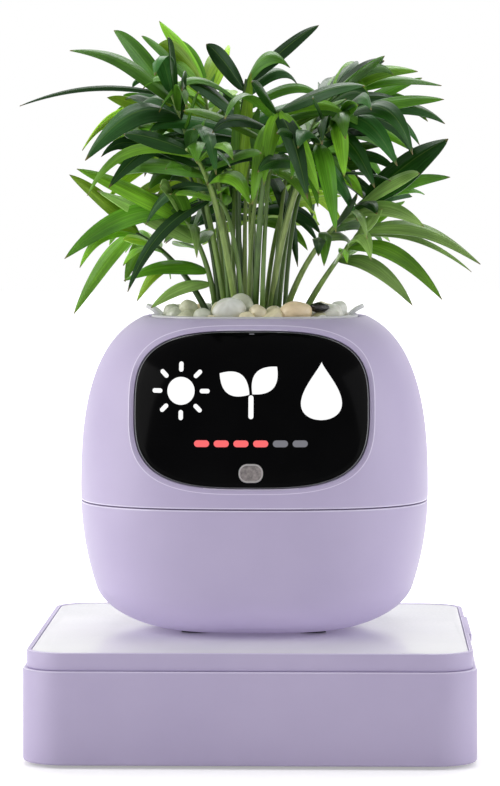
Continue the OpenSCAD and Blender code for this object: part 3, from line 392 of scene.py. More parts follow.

# %% [markdown]
# A palm leaflet has parallel veins along its length, a paler midrib, a waxy face and often a dry tip. The UV
# map of the leaflet runs along and across the blade, so a noise that is stretched along it draws the veins,
# the distance from the middle line draws the rib, and the last stretch of the length turns brown. A slower
# noise paints lighter and darker patches, a painted sheen, and the shader's own sheen is tinted green.

# %% Leaf and stalk
palm_leaf, shader, place = start_finish("palm_leaf")
tint = add_node(palm_leaf, "ShaderNodeAttribute", attribute_name="tint")
stretch = add_node(palm_leaf, "ShaderNodeMapping")
stretch.inputs["Scale"].default_value = (1.2, 15.0, 1.0)
join_sockets(palm_leaf, place, "UV", stretch, "Vector")
veins = add_node(palm_leaf, "ShaderNodeTexNoise", Scale=1.0, Detail=3.0)
join_sockets(palm_leaf, stretch, "Vector", veins, "Vector")
stripe = blend_colours(palm_leaf, veins, "Fac", (0.50, 0.55, 0.46, 1), (1.36, 1.30, 1.30, 1))
veined = multiply_colours(palm_leaf, tint.outputs["Color"], stripe.outputs["Color"])
# Painted sheen: a slow noise makes lighter and darker patches over the leaves.
sheen_patch_noise = add_node(palm_leaf, "ShaderNodeTexNoise", Scale=55.0, Detail=2.0)
join_sockets(palm_leaf, place, "Object", sheen_patch_noise, "Vector")
painted_sheen_patch = blend_colours(palm_leaf, sheen_patch_noise, "Fac", (0.66, 0.69, 0.64, 1), (1.52, 1.44, 1.52, 1))
sheen_patched = multiply_colours(palm_leaf, veined, painted_sheen_patch.outputs["Color"])
blade_uv = add_node(palm_leaf, "ShaderNodeSeparateXYZ")
join_sockets(palm_leaf, place, "UV", blade_uv, "Vector")


def blade_band(socket, near, far, cover_share, colour, under):
    """Lay a share of a colour over the blade where a UV value goes from near to far."""
    band = map_range(palm_leaf, near, far, 0, cover_share)
    palm_leaf.node_tree.links.new(socket, band.inputs["Value"])
    cover = add_node(palm_leaf, "ShaderNodeMix", data_type="RGBA")
    palm_leaf.node_tree.links.new(band.outputs["Result"], cover.inputs["Factor"])
    palm_leaf.node_tree.links.new(under, cover.inputs[MIX_UNDER])
    cover.inputs[MIX_OVER].default_value = colour
    return cover.outputs[MIX_RESULT]


from_rib = add_node(palm_leaf, "ShaderNodeMath", operation="SUBTRACT")
from_rib.inputs[1].default_value = 0.5
join_sockets(palm_leaf, blade_uv, "Y", from_rib, 0)
rib_reach = add_node(palm_leaf, "ShaderNodeMath", operation="ABSOLUTE")
join_sockets(palm_leaf, from_rib, "Value", rib_reach, 0)
ribbed = blade_band(rib_reach.outputs["Value"], 0.03, 0.006, 0.4, srgb(112, 146, 66), sheen_patched)
tipped = blade_band(blade_uv.outputs["X"], 0.955, 1.0, 1.0, srgb(132, 110, 66), ribbed)
palm_leaf.node_tree.links.new(tipped, shader.inputs["Base Color"])
vein_bump = add_node(palm_leaf, "ShaderNodeBump", Strength=0.6, Distance=0.0003)
join_sockets(palm_leaf, veins, "Fac", vein_bump, "Height")
join_sockets(palm_leaf, vein_bump, "Normal", shader, "Normal")
fill_sockets(shader, {
    "Roughness": 0.28, "Specular IOR Level": 0.22, "Specular Tint": (0.55, 1.0, 0.6, 1),
    "Coat Weight": 0.07, "Coat Roughness": 0.16,
})
palm_stalk, shader, place = start_finish("palm_stalk")
fibre = add_node(palm_stalk, "ShaderNodeTexNoise", Scale=1.0, Detail=3.0)
along = add_node(palm_stalk, "ShaderNodeMapping")
along.inputs["Scale"].default_value = (700.0, 700.0, 40.0)
join_sockets(palm_stalk, place, "Object", along, "Vector")
join_sockets(palm_stalk, along, "Vector", fibre, "Vector")
skin = blend_colours(palm_stalk, fibre, "Fac", (0.62, 0.66, 0.56, 1), (1.22, 1.20, 1.25, 1))
stalk_tint = add_node(palm_stalk, "ShaderNodeAttribute", attribute_name="tint")
striped = multiply_colours(palm_stalk, stalk_tint.outputs["Color"], skin.outputs["Color"])
palm_stalk.node_tree.links.new(striped, shader.inputs["Base Color"])
shader.inputs["Roughness"].default_value = 0.38
print("Plant finishes are ready")

# %% [markdown]
# Most forms of this pot are stacks of rounded-square rings. By hand one would draw a circle, extrude it,
# move it up and scale it, ring after ring, and a helper does just that. Scaling about the axis keeps each
# ring a rounded square. Other helpers pull a loop to given places, apply a modifier, cut with a boolean, and
# finish a piece. The last one gives a few faces a second finish. Points closer than SAME_PLACE count as one,
# and a face looks along an axis if its normal reaches LOOKS_ALONG that way.

# %% Helpers to model with rings
SIDES = 192
SAME_PLACE, LOOKS_ALONG = 0.01, 0.9


def extrude_by(x, y, z):
    """Extrude what is selected by a step in millimetres."""
    bpy.ops.mesh.extrude_region_move(TRANSFORM_OT_translate={"value": (x * MM, y * MM, z * MM)})


def ring_stack(name, rings, sides=SIDES):
    """A skin through rounded-square rings, each given by its half width and height."""
    clear_selection()
    bpy.ops.mesh.primitive_circle_add(vertices=sides, radius=1)
    piece = new_piece(name)
    width, height = rings[0]
    for point in piece.data.vertices:
        share = width / plan_reach(point.co.x, point.co.y)
        point.co = Vector((point.co.x * share, point.co.y * share, height)) * MM
    edit(piece)
    for (last_w, last_z), (next_w, next_z) in zip(rings, rings[1:]):
        extrude_by(0, 0, next_z - last_z)
        grow = next_w / last_w
        bpy.ops.transform.resize(value=(grow, grow, 1), center_override=(0, 0, 0))
    return piece


def extrude_to(piece, spot):
    """Extrude the selected loop and move each new point to spot(old point), in millimetres."""
    bpy.ops.mesh.extrude_region_move()
    mesh = bmesh.from_edit_mesh(piece.data)
    for point in mesh.verts:
        if point.select:
            point.co = Vector(spot(point.co / MM)) * MM
    bmesh.update_edit_mesh(piece.data)


def outline_rule(reach, mid_z, side):
    """A maker of rules that move a point part of the way to an outline on the front (-1) or back (1)."""
    def rule(share, grow, inset):
        def spot(point):
            along = Vector((point.x, point.z - mid_z))
            scale = 1 + (reach(along.x, along.y, grow) - 1) * share
            x, z = along.x * scale, mid_z + along.y * scale
            return x, side * face_depth(x, z, inset), z
        return spot
    return rule


def in_opening(side, share, low, high, to_inner):
    """A test for faces of the outer or inner wall inside an opening on the front (-1) or back (1)."""
    def test(face):
        spot = face.calc_center_median() / MM
        reach = plan_reach(spot.x, spot.y)
        if spot.y * side < 0 or abs(spot.x) > share * reach:
            return False
        if half_width(min(spot.z, POT_H)) - reach < SHELL_WALL / 2:
            return low < spot.z < high
        return to_inner(low) < spot.z < to_inner(high)
    return test


def cap_ends():
    """Close every open ring of the piece in edit mode with a flat face."""
    bpy.ops.mesh.select_mode(type="EDGE")
    bpy.ops.mesh.select_all(action="SELECT")
    bpy.ops.mesh.fill_holes(sides=0)


def apply_modifier(piece, kind, **values):
    """Add a modifier with its settings and apply it at once."""
    take(piece)
    modifier = piece.modifiers.new(kind, kind)
    for name, value in values.items():
        setattr(modifier, name, value)
    bpy.ops.object.modifier_apply(modifier=modifier.name)


def cut(piece, tool):
    """Cut one mesh out of another and throw the cutter away."""
    apply_modifier(piece, "BOOLEAN", operation="DIFFERENCE", solver="EXACT", object=tool)
    bpy.data.objects.remove(tool, do_unlink=True)


def settle(piece, body, nodes, finish=None, place=(0, 0, 0), angle=30, merge=0.004):
    """Merge doubles, turn faces outwards, apply the place, smooth the skin and let the piece ride."""
    edit(piece)
    bpy.ops.mesh.remove_doubles(threshold=merge * MM)
    bpy.ops.mesh.normals_make_consistent(inside=False)
    take(piece)
    piece.location = Vector(piece.location) + Vector(place)
    bpy.ops.object.transform_apply(location=True, rotation=True, scale=True)
    bpy.ops.object.shade_smooth_by_angle(angle=math.radians(angle))
    if finish:
        piece.data.materials.clear()
        piece.data.materials.append(finish)
    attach(piece, body)
    if nodes:
        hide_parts(*nodes)
    print(piece.name, "has", len(piece.data.polygons), "faces")


def second_finish(piece, finish, test):
    """Give another finish to the faces that pass a test."""
    piece.data.materials.append(finish)
    found = [face for face in piece.data.polygons if test(face)]
    for face in found:
        face.material_index = 1
    print(piece.name, "has", len(found), "faces with", finish.name)


print("Modelling helpers are ready")

# %% [markdown]
# The upper shell is a thin wall with a window for the lens. A boolean would leave ragged shading round the
# window, so the faces there are deleted from the outer and inner walls, and the outer edge is extruded
# inwards in rings that turn from a square hole into the lens's outline, then over a chamfer and a ledge.

# %% Sizes of the screen
SCREEN_W, SCREEN_H, SCREEN_Z, SCREEN_POWER = 84, 55.2, 83.2, 3.2
LENS_INSET, LENS_T, LENS_GASKET_T, LENS_LEDGE, LENS_GAP = 0.4, 1.2, 0.4, 3, 0.3
CHAMFER_W, CHAMFER_D, EDGE_LINE, EDGE_SLOPE = 1.9, 0.8, 0.3, 0.04
WINDOW_SIDE, WINDOW_LOW, WINDOW_HIGH, WINDOW_STEPS = 0.745, 52.4, 113.4, 6


def lens_reach(x, z, grow):
    """How much a direction from the lens's middle is stretched to reach its outline, grown by a width."""
    wide = abs(x) / (SCREEN_W / 2 + grow)
    high = abs(z) / (SCREEN_H / 2 + grow)
    return (wide**SCREEN_POWER + high**SCREEN_POWER) ** (-1 / SCREEN_POWER)


to_lens = outline_rule(lens_reach, SCREEN_Z, -1)
print("Lens:", SCREEN_W, "by", SCREEN_H, "mm")

# %% The upper shell's rings
collar_z = POT_H - COLLAR_H
opening_hw = RIM_W / 2 - RIM_LIP
shell_low = SEAM_Z + SEAM_GAP / 2
top_row = POT_H - RIM_EDGE
row_count = 40
rows = [shell_low + EDGE_H + (top_row - shell_low - EDGE_H) * i / row_count for i in range(row_count + 1)]
under_collar = (collar_z - shell_low) / (top_row - shell_low)


def below_collar(z):
    """The height on the inner wall that goes with a height on the outer wall."""
    return shell_low + (z - shell_low) * under_collar


upper_hw = half_width(shell_low)
seam_edge = [(upper_hw - EDGE_ROUND, shell_low), (upper_hw - EDGE_STEP, shell_low + EDGE_STEP)]
# The rim's rounded edges, from the outside over the top to the collar.
rim = [
    (half_width(POT_H) + 0.45, POT_H - 0.25), (RIM_W / 2 - 0.5, POT_H - 0.04), (RIM_W / 2 - 1.2, POT_H),
    (opening_hw + 0.6, POT_H), (opening_hw + 0.15, POT_H - 0.18), (opening_hw, POT_H - 0.7),
    (opening_hw, collar_z),
]
outer_skin = [(half_width(z), z) for z in rows]
inner_skin = [(half_width(z) - SHELL_WALL, z) for z in map(below_collar, reversed(rows))]
foot = [(upper_hw - SHELL_WALL, shell_low), seam_edge[0]]
upper_shell = ring_stack("upper_shell_skin", seam_edge + outer_skin + rim + inner_skin + foot)
bpy.ops.mesh.select_all(action="SELECT")
bpy.ops.mesh.remove_doubles(threshold=SAME_PLACE * MM)
print("Upper shell before its window:", len(upper_shell.data.vertices), "points")

# %% Open the window and draw its edge in
def on_outer_edge(edge):
    """True for an open edge of the outer wall."""
    spot = (edge.verts[0].co + edge.verts[1].co) / 2 / MM
    return edge.is_boundary and half_width(spot.z) - plan_reach(spot.x, spot.y) < SHELL_WALL / 2


choose(upper_shell, "FACE", in_opening(-1, WINDOW_SIDE, WINDOW_LOW, WINDOW_HIGH, below_collar))
bpy.ops.mesh.delete(type="FACE")
choose(upper_shell, "EDGE", on_outer_edge)
for step in range(WINDOW_STEPS):
    extrude_to(upper_shell, to_lens(1 / (WINDOW_STEPS - step), CHAMFER_W + LENS_GAP, 0))
ledge_depth = LENS_INSET + LENS_T + LENS_GASKET_T
chamfer = [
    (CHAMFER_W - EDGE_LINE, EDGE_SLOPE), (EDGE_LINE, CHAMFER_D - EDGE_SLOPE), (0, CHAMFER_D + EDGE_STEP),
    (0, ledge_depth),
]
for grow, inset in chamfer:
    extrude_to(upper_shell, to_lens(1, grow + LENS_GAP, inset))
for inset in (ledge_depth, SHELL_WALL):
    extrude_to(upper_shell, to_lens(1, -LENS_LEDGE, inset))
choose(upper_shell, "EDGE", lambda edge: edge.is_boundary)
bpy.ops.mesh.bridge_edge_loops()
settle(upper_shell, "pot", ["upper_shell"], lavender, pot_place, 24)

# %% [markdown]
# Light runs along moulded edges as thin bright lines: along both edges of the window's chamfer, along the
# seam and, further on, along the base's top edges. They are narrow strips of faces, so the lines are painted
# highlights: a paler, glossier finish on just those faces. On the pot they are found by their distance from
# the lens or the seam.

# %% Painted highlights along the upper shell's edges
def on_highlight_line(x, z, grow):
    """True within one edge line's width inside an outline grown from the lens's, where a highlight is
    painted.
    """
    return lens_reach(x, z, grow) > 1 > lens_reach(x, z, grow - EDGE_LINE)


def by_seam_highlight(face):
    """True for the outer faces that edge the seam, where a highlight is painted."""
    spot = (face.center - pot_place) / MM
    from_seam = abs(spot.z - SEAM_Z) - SEAM_GAP / 2
    on_outside = half_width(spot.z) - plan_reach(spot.x, spot.y) < SHELL_WALL / 2
    return EDGE_STEP < from_seam < EDGE_H and on_outside


def on_painted_highlight(face):
    """True for the faces that edge the window or the seam, where a highlight is painted."""
    spot = (face.center - pot_place) / MM
    away = spot.z - SCREEN_Z
    on_front = spot.y < 0 and face_depth(spot.x, spot.z, 0) + spot.y < CHAMFER_D + EDGE_STEP / 2
    lines = (CHAMFER_W + LENS_GAP, EDGE_LINE + LENS_GAP)
    return by_seam_highlight(face) or (on_front and any(on_highlight_line(spot.x, away, grow) for grow in lines))


second_finish(upper_shell, painted_highlight_lavender, on_painted_highlight)

# %% [markdown]
# The lower shell is the same kind of stack, with a flat underside whose edge is rounded. The port window at
# the back is opened in the same way, but its outline is a rectangle with round corners.

# %% Sizes of the rear ports
PORT_Z, PORT_W, PORT_H, PORT_CORNER, FIT_GAP = 33.5, 36, 12, 3, 0.2
PORT_SIDE, PORT_LOW, PORT_HIGH, PORT_STEPS, PORT_ROUND = 0.40, 23.6, 43.4, 4, 0.5
PORT_EDGE = ((0.15, 0.1), (0, 0.45), (0, SHELL_WALL))
NEAR_ZERO = 1e-6


def port_reach(x, z, grow):
    """How much a direction from the port's middle is stretched to reach its rounded rectangle."""
    half_w, half_h, corner = PORT_W / 2 + FIT_GAP + grow, PORT_H / 2 + FIT_GAP + grow, PORT_CORNER + grow
    x, z = max(abs(x), NEAR_ZERO), max(abs(z), NEAR_ZERO)
    scale = min(half_w / x, half_h / z)
    mid_x, mid_z = half_w - corner, half_h - corner
    if scale * x > mid_x and scale * z > mid_z:
        lean = x * mid_x + z * mid_z
        size = x * x + z * z
        scale = (lean + math.sqrt(lean**2 - size * (mid_x**2 + mid_z**2 - corner**2))) / size
    return scale


to_port = outline_rule(port_reach, PORT_Z, 1)
print("Port window:", PORT_W, "by", PORT_H, "mm")

# %% The lower shell
ROUND_ROWS, ROW_CROWD, SIDE_ROWS = 18, 1.8, 20
UNDER_SHARE, INSIDE_SHARE = 0.9, 0.8
shell_top = SEAM_Z - SEAM_GAP / 2
floor_top = FOOT_T + FLOOR_T
row_top = shell_top - EDGE_H
low_rows = [FOOT_T + (FOOT_ROUND - FOOT_T) * (i / ROUND_ROWS) ** ROW_CROWD for i in range(ROUND_ROWS + 1)]
low_rows += [FOOT_ROUND + (row_top - FOOT_ROUND) * i / SIDE_ROWS for i in range(1, SIDE_ROWS + 1)]
above_share = (shell_top - floor_top) / (row_top - FOOT_T)


def above_floor(z):
    """The height on the inner wall that goes with a height on the outer wall."""
    return floor_top + (z - FOOT_T) * above_share


outer_skin = [(half_width(z), z) for z in low_rows]
lower_hw = half_width(shell_top)
top_edge = [(lower_hw - EDGE_STEP, shell_top - EDGE_STEP), (lower_hw - EDGE_ROUND, shell_top)]
inner_skin = [(half_width(z) - SHELL_WALL, z) for z in map(above_floor, reversed(low_rows))]
under = [(half_width(FOOT_T) * UNDER_SHARE, FOOT_T)]
inside = [(half_width(floor_top) * INSIDE_SHARE, floor_top)]
lower_shell = ring_stack("lower_shell_skin", under + outer_skin + top_edge + inner_skin + inside)
cap_ends()
choose(lower_shell, "FACE", in_opening(1, PORT_SIDE, PORT_LOW, PORT_HIGH, above_floor))
bpy.ops.mesh.delete(type="FACE")
choose(lower_shell, "EDGE", on_outer_edge)
for step in range(PORT_STEPS):
    extrude_to(lower_shell, to_port(1 / (PORT_STEPS - step), PORT_ROUND, 0))
for grow, inset in PORT_EDGE:
    extrude_to(lower_shell, to_port(1, grow, inset))
choose(lower_shell, "EDGE", lambda edge: edge.is_boundary)
bpy.ops.mesh.bridge_edge_loops()
settle(lower_shell, "pot", ["lower_shell"], lavender, pot_place, 28)
# The faces along the seam get the paler lavender, a painted highlight.
second_finish(lower_shell, painted_highlight_lavender, by_seam_highlight)

# %% [markdown]
# The seam between the shells is sealed by a rubber ring, set back so that only a thin dark line shows.

# %% The seam gasket
SEAL_BACK, SEAL_SLACK, SEAL_BULGE = 0.4, 0.01, 0.1
seam_hw = half_width(SEAM_Z)
seal_out, seal_in = seam_hw - SEAM_GROOVE, seam_hw - SHELL_WALL + SEAL_BACK
seal_low, seal_high = SEAM_Z - SEAM_GAP / 2 + SEAL_SLACK, SEAM_Z + SEAM_GAP / 2 - SEAL_SLACK
seal_rings = [
    (seal_in, seal_low), (seal_out, seal_low), (seal_out + SEAL_BULGE, SEAM_Z), (seal_out, seal_high),
    (seal_in, seal_high), (seal_in, seal_low),
]
seam_gasket = ring_stack("seam_gasket_ring", seal_rings)
settle(seam_gasket, "pot", ["seam_gasket"], lilac_rubber, pot_place)

# %% [markdown]
# The lens is a curved plate that follows the pot's front. A disc is built ring by ring, from the rim at the
# back, over a small rounded edge and in to the middle. The same helper later draws the lit marks, which
# are thin discs with other outlines.

# %% A helper for plates on the front face
PLATE_RINGS, EDGE_BEND = (0.94, 0.84, 0.70, 0.54, 0.38, 0.22, 0.06), 0.3


def front_plate(name, mid, outline, near, far, edge=0.0):
    """A closed plate on the front face, between two depths, inside an outline about a middle point."""
    clear_selection()
    bpy.ops.mesh.primitive_circle_add(vertices=len(outline), radius=1)
    piece = new_piece(name)
    size = max(math.hypot(*spot) for spot in outline)

    def place(x, z, inset):
        return x, -face_depth(x, z, inset), z

    for point, (x, z) in zip(piece.data.vertices, outline):
        point.co = Vector(place(mid[0] + x, mid[1] + z, far)) * MM

    def ring(last, share, inset):
        """Draw the next ring in, from the last share of the outline to the next one."""
        def spot(point):
            grow = share / last
            return place(mid[0] + (point.x - mid[0]) * grow, mid[1] + (point.z - mid[1]) * grow, inset)
        extrude_to(piece, spot)

    trim = edge / size
    front = [(1, near + edge), (1 - trim * EDGE_BEND, near + edge * EDGE_BEND), (1 - trim, near)]
    front += [(share, near) for share in PLATE_RINGS]
    edit(piece)
    last = 1
    for share, inset in front:
        ring(last, share, inset)
        last = share
    bpy.ops.mesh.edge_face_add()
    choose(piece, "EDGE", lambda line: line.is_boundary)
    last = 1
    for share in PLATE_RINGS:
        ring(last, share, far)
        last = share
    bpy.ops.mesh.edge_face_add()
    return piece


def round_turns(count):
    """Even turns round a circle, half a step off the axes."""
    return [math.tau * (i + 0.5) / count for i in range(count)]


def lens_outline(count):
    """Points round the lens's outline, at even angles."""
    points = []
    for turn in round_turns(count):
        x, z = math.cos(turn), math.sin(turn)
        scale = lens_reach(x, z, 0)
        points.append((x * scale, z * scale))
    return points


print("Front plate helper is ready")

# %% [markdown]
# The sensor window sits in a pill-shaped hole low in the lens. Here a boolean is the quick way, because on
# black glass the cut's edge is all that shows. The cutter is a cube whose long edges are bevelled round.

# %% The lens
WINDOW_W, WINDOW_H, WINDOW_UP, WINDOW_T = 8.8, 6.8, 5.4, 3.4
PILL_FLAT, PILL_SEGMENTS, PILL_EDGE, HOLE_OUT, HOLE_IN = 0.2, 14, 0.5, 2, 3
LENS_EDGE, LENS_POINTS, GLINT_NEAR, GLINT_FAR = 0.5, 160, 1.004, 1.0105
window_z = SCREEN_Z - SCREEN_H / 2 + WINDOW_UP


def pill(name, grow, near, far):
    """A pill-shaped bar through the lens, drawn from a cube with its long edges bevelled."""
    clear_selection()
    size = Vector((WINDOW_W + 2 * grow, far - near, WINDOW_H + 2 * grow))
    bpy.ops.mesh.primitive_cube_add(size=MM, location=Vector((0, (near + far) / 2, window_z)) * MM)
    piece = new_piece(name)
    piece.scale = size
    bpy.ops.object.transform_apply(location=True, rotation=True, scale=True)
    edit(piece)
    choose(piece, "EDGE", lambda line: abs((line.verts[0].co - line.verts[1].co).y) > PILL_EDGE * MM)
    bpy.ops.mesh.bevel(offset=(size.z / 2 - PILL_FLAT) * MM, segments=PILL_SEGMENTS, affect="EDGES")
    return piece


def on_lens_glint(face):
    """True for the front faces of the rounded edge, just inside the outline, which get the painted glint."""
    spot = (face.center - pot_place) / MM
    return GLINT_NEAR < lens_reach(spot.x, spot.z - SCREEN_Z, 0) < GLINT_FAR and face.normal.y < 0


lens_back = LENS_INSET + LENS_T
outline = lens_outline(LENS_POINTS)
screen_lens = front_plate("screen_lens_glass", (0, SCREEN_Z), outline, LENS_INSET, lens_back, LENS_EDGE)
hole = pill("sensor_hole", FIT_GAP / 2, -pot_hw - HOLE_OUT, -pot_hw + WINDOW_T + HOLE_IN)
cut(screen_lens, hole)
settle(screen_lens, "pot", ["screen_lens"], lens_glass, pot_place, 40)
# A grey finish on the front of the rounded edge paints a glint along the glass.
second_finish(screen_lens, lens_edge_glint, on_lens_glint)

# %% The sensor window
FRAME_W, FRAME_SINK, FRAME_EDGE = 0.5, 0.25, 0.15
window_front = -face_depth(0, window_z, LENS_INSET)
sensor_window = pill("sensor_window_plug", -FIT_GAP / 2, window_front, window_front + WINDOW_T)
choose(sensor_window, "FACE", lambda face: face.normal.y < -LOOKS_ALONG)
bpy.ops.mesh.inset(thickness=FRAME_W * MM)
extrude_by(0, FRAME_SINK, 0)
bpy.ops.mesh.inset(thickness=FRAME_EDGE * MM)
settle(sensor_window, "pot", ["sensor_window"], window_rim, pot_place, 40)
sunk = (window_front + FRAME_SINK * 0.8) * MM + pot_place.y


def on_sunk_face(face):
    """True for the face inside the window's frame."""
    return face.normal.y < -LOOKS_ALONG and face.center.y > sunk


second_finish(sensor_window, window_face, on_sunk_face)

# %% [markdown]
# The display is lit. Its marks are a plain set of the builder's own that tells how the plant is doing: a sun
# for light, a sprout for growth, a drop for water, a level bar below them and a tiny status dash at the top.
# Each is drawn as an outline and made a thin glowing plate on the lens, so that it curves with it.

# %% Outlines of the marks
def disc(radius):
    """A circle."""
    return [(radius * math.cos(turn), radius * math.sin(turn)) for turn in round_turns(48)]


def stroke(length, width, lean):
    """A short bar with round ends, leaning from the upright, with points along its sides to bend with."""
    reach, end, steps = (length - width) / 2, width / 2, 8
    turns = [math.pi * k / steps for k in range(steps + 1)]
    half = [(end * math.cos(turn), reach + end * math.sin(turn)) for turn in turns]
    half += [(-end, reach * (1 - 2 * k / steps)) for k in range(1, steps)]
    bar = half + [(-x, -z) for x, z in half]
    cos, sin = math.cos(lean), math.sin(lean)
    return [(x * cos + z * sin, z * cos - x * sin) for x, z in bar]


def drop(width, height):
    """A water drop, round below and drawn to a point above."""
    widest = 0.702
    points = []
    for turn in round_turns(64):
        x = math.sin(turn) * math.sin(turn / 2) ** 1.5 / widest
        points.append((x * width / 2, math.cos(turn) * height / 2))
    return points


def leaf(length, width, rise):
    """A leaf with two pointed ends, at an angle above the level."""
    points = []
    for turn in round_turns(48):
        along = length / 2 * math.cos(turn)
        across = width / 2 * math.sin(turn) * abs(math.sin(turn))
        x = along * math.cos(rise) - across * math.sin(rise)
        points.append((x, along * math.sin(rise) + across * math.cos(rise)))
    return points


print("Mark outlines are ready")

# %% Light the marks
MARK_X, MARK_Z, LEVEL_Z = 25.0, 90.0, 71.5
MARK_PROUD, MARK_SUNK = 0.04, 0.06
SUN_R, RAY_AT, RAYS, RAY_LEN, RAY_W = 4.9, 8.5, 8, 3.6, 1.6
STEM_DROP, STEM_LEN, STEM_W = 5.6, 8.4, 1.8
LEAF_AT, LEAF_DROP, LEAF_LEN, LEAF_W = 7.2, 1.6, 13.0, 8.2
LEAF_RISES = (math.radians(145), math.radians(48))
DROP_W, DROP_H = 14.6, 20.4
LEVEL_STEPS, LEVEL_LIT, LEVEL_PITCH, BAR_LEN, BAR_W = 6, 4, 7.0, 5.4, 2.4
DASH_DROP, DASH_LEN, DASH_W = 0.9, 1.8, 0.3


def light_up(name, plates, finish):
    """Make each plate of a mark and join them into one glowing piece."""
    made = []
    for mid, outline in plates:
        made.append(front_plate("lit_" + name, mid, outline, LENS_INSET - MARK_PROUD, LENS_INSET + MARK_SUNK))
    settle(join(*made), "pot", [], finish, pot_place, 40, merge=0.001)


sun = [((-MARK_X, MARK_Z), disc(SUN_R))]
for k in range(RAYS):
    turn = math.tau * k / RAYS
    spot = (-MARK_X + RAY_AT * math.sin(turn), MARK_Z + RAY_AT * math.cos(turn))
    sun.append((spot, stroke(RAY_LEN, RAY_W, turn)))
light_up("sun", sun, white_glow)
sprout = [((0, MARK_Z - STEM_DROP), stroke(STEM_LEN, STEM_W, 0))]
for rise in LEAF_RISES:
    spot = (LEAF_AT * math.cos(rise), MARK_Z - LEAF_DROP + LEAF_AT * math.sin(rise))
    sprout.append((spot, leaf(LEAF_LEN, LEAF_W, rise)))
light_up("sprout", sprout, white_glow)
light_up("drop", [((MARK_X, MARK_Z), drop(DROP_W, DROP_H))], white_glow)
steps = [((k - (LEVEL_STEPS - 1) / 2) * LEVEL_PITCH, LEVEL_Z) for k in range(LEVEL_STEPS)]
bars = [(spot, stroke(BAR_LEN, BAR_W, math.pi / 2)) for spot in steps]
light_up("level", bars[:LEVEL_LIT], coral_glow)
light_up("level_rest", bars[LEVEL_LIT:], dim_glow)
dash_spot = (0, SCREEN_Z + SCREEN_H / 2 - DASH_DROP)
light_up("status_dash", [(dash_spot, stroke(DASH_LEN, DASH_W, math.pi / 2))], dim_glow)

# %% [markdown]
# The liner lifts out and the well stays in the pot. Both are buckets, so each is a stack of rings that goes
# up the outside, over the lip and down the inside, with small radii at the corners as moulded parts have.

# %% The well and its sizes
LINER_GAP, LINER_SEAT, LINER_SLACK, LINER_WALL, LINER_SUMP, LINER_PROUD = 0.3, 1.6, 0.5, 1.5, 4.2, 0.6
WELL_WALL, WELL_Z, FLANGE_GAP, FLANGE_T, WELL_GASKET_T = 1.8, 36, 0.2, 1.8, 1
WELL_ROUND, WELL_LIP, LINER_ROUND = 3, 0.3, 2.4
well_top = collar_z - WELL_GASKET_T
liner_collar_hw = opening_hw - LINER_GAP
well_in_hw = liner_collar_hw - LINER_SEAT
well_hw = well_in_hw + WELL_WALL
flange_hw = half_width(collar_z) - SHELL_WALL - FLANGE_GAP


def bucket_foot(half, z, radius):
    """Rings round the outer edge of a bucket's floor."""
    return [
        (half - radius * (1 - math.sin(turn)), z + radius * (1 - math.cos(turn)))
        for turn in (math.radians(a) for a in (0, 22.5, 45, 67.5, 90))
    ]


well_floor = WELL_Z + WELL_WALL
well_rings = bucket_foot(well_hw, WELL_Z, WELL_ROUND) + [
    (well_hw, well_top - FLANGE_T), (flange_hw, well_top - FLANGE_T), (flange_hw, well_top),
    (well_in_hw + WELL_LIP, well_top), (well_in_hw, well_top - WELL_LIP),
] + bucket_foot(well_in_hw, well_floor, WELL_ROUND)[::-1]
well = ring_stack("well_bucket", well_rings)
cap_ends()
settle(well, "pot", ["well"], satin_white, pot_place)

# %% The liner's bucket, with drain holes
DRAIN_R, DRAIN_COUNT, DRAIN_CUT = 2.4, 8, 8
liner_hw = well_in_hw - LINER_SLACK
liner_in_hw = liner_hw - LINER_WALL
liner_z = well_floor + LINER_SUMP
liner_top = POT_H + LINER_PROUD
# Up the outside, out under the collar, over the rounded lip and down the inside.
liner_rings = bucket_foot(liner_hw, liner_z, LINER_ROUND) + [
    (liner_hw, well_top + 0.02), (liner_collar_hw - 0.25, well_top + 0.02),
    (liner_collar_hw, well_top + 0.3), (liner_collar_hw, liner_top - 0.5),
    (liner_collar_hw - 0.15, liner_top - 0.12), (liner_collar_hw - 0.5, liner_top),
    (liner_in_hw + 0.4, liner_top), (liner_in_hw + 0.1, liner_top - 0.12), (liner_in_hw, liner_top - 0.5),
] + bucket_foot(liner_in_hw, liner_z + LINER_WALL, LINER_ROUND)[::-1]
liner = ring_stack("liner_bucket", liner_rings)
cap_ends()
drains = [(0, 0)]
for k in range(DRAIN_COUNT):
    turn = math.tau * k / DRAIN_COUNT
    drains.append((liner_in_hw / 2 * math.cos(turn), liner_in_hw / 2 * math.sin(turn)))
clear_selection()
cutters = []
for x, y in drains:
    spot = Vector((x, y, liner_z + LINER_WALL / 2)) * MM
    bpy.ops.mesh.primitive_cylinder_add(
        vertices=40, radius=DRAIN_R * MM, depth=DRAIN_CUT * MM, location=spot,
    )
    cutters.append(bpy.context.object)
cut(liner, join(*cutters))
print("Drain holes:", len(drains))

# %% [markdown]
# Two ears stand on the liner's lip to lift it by. One ear is a grid that is rolled up and out, with two
# powers for its curve, lowered towards its ends and thickened with Solidify. The other is its copy, turned
# half round.

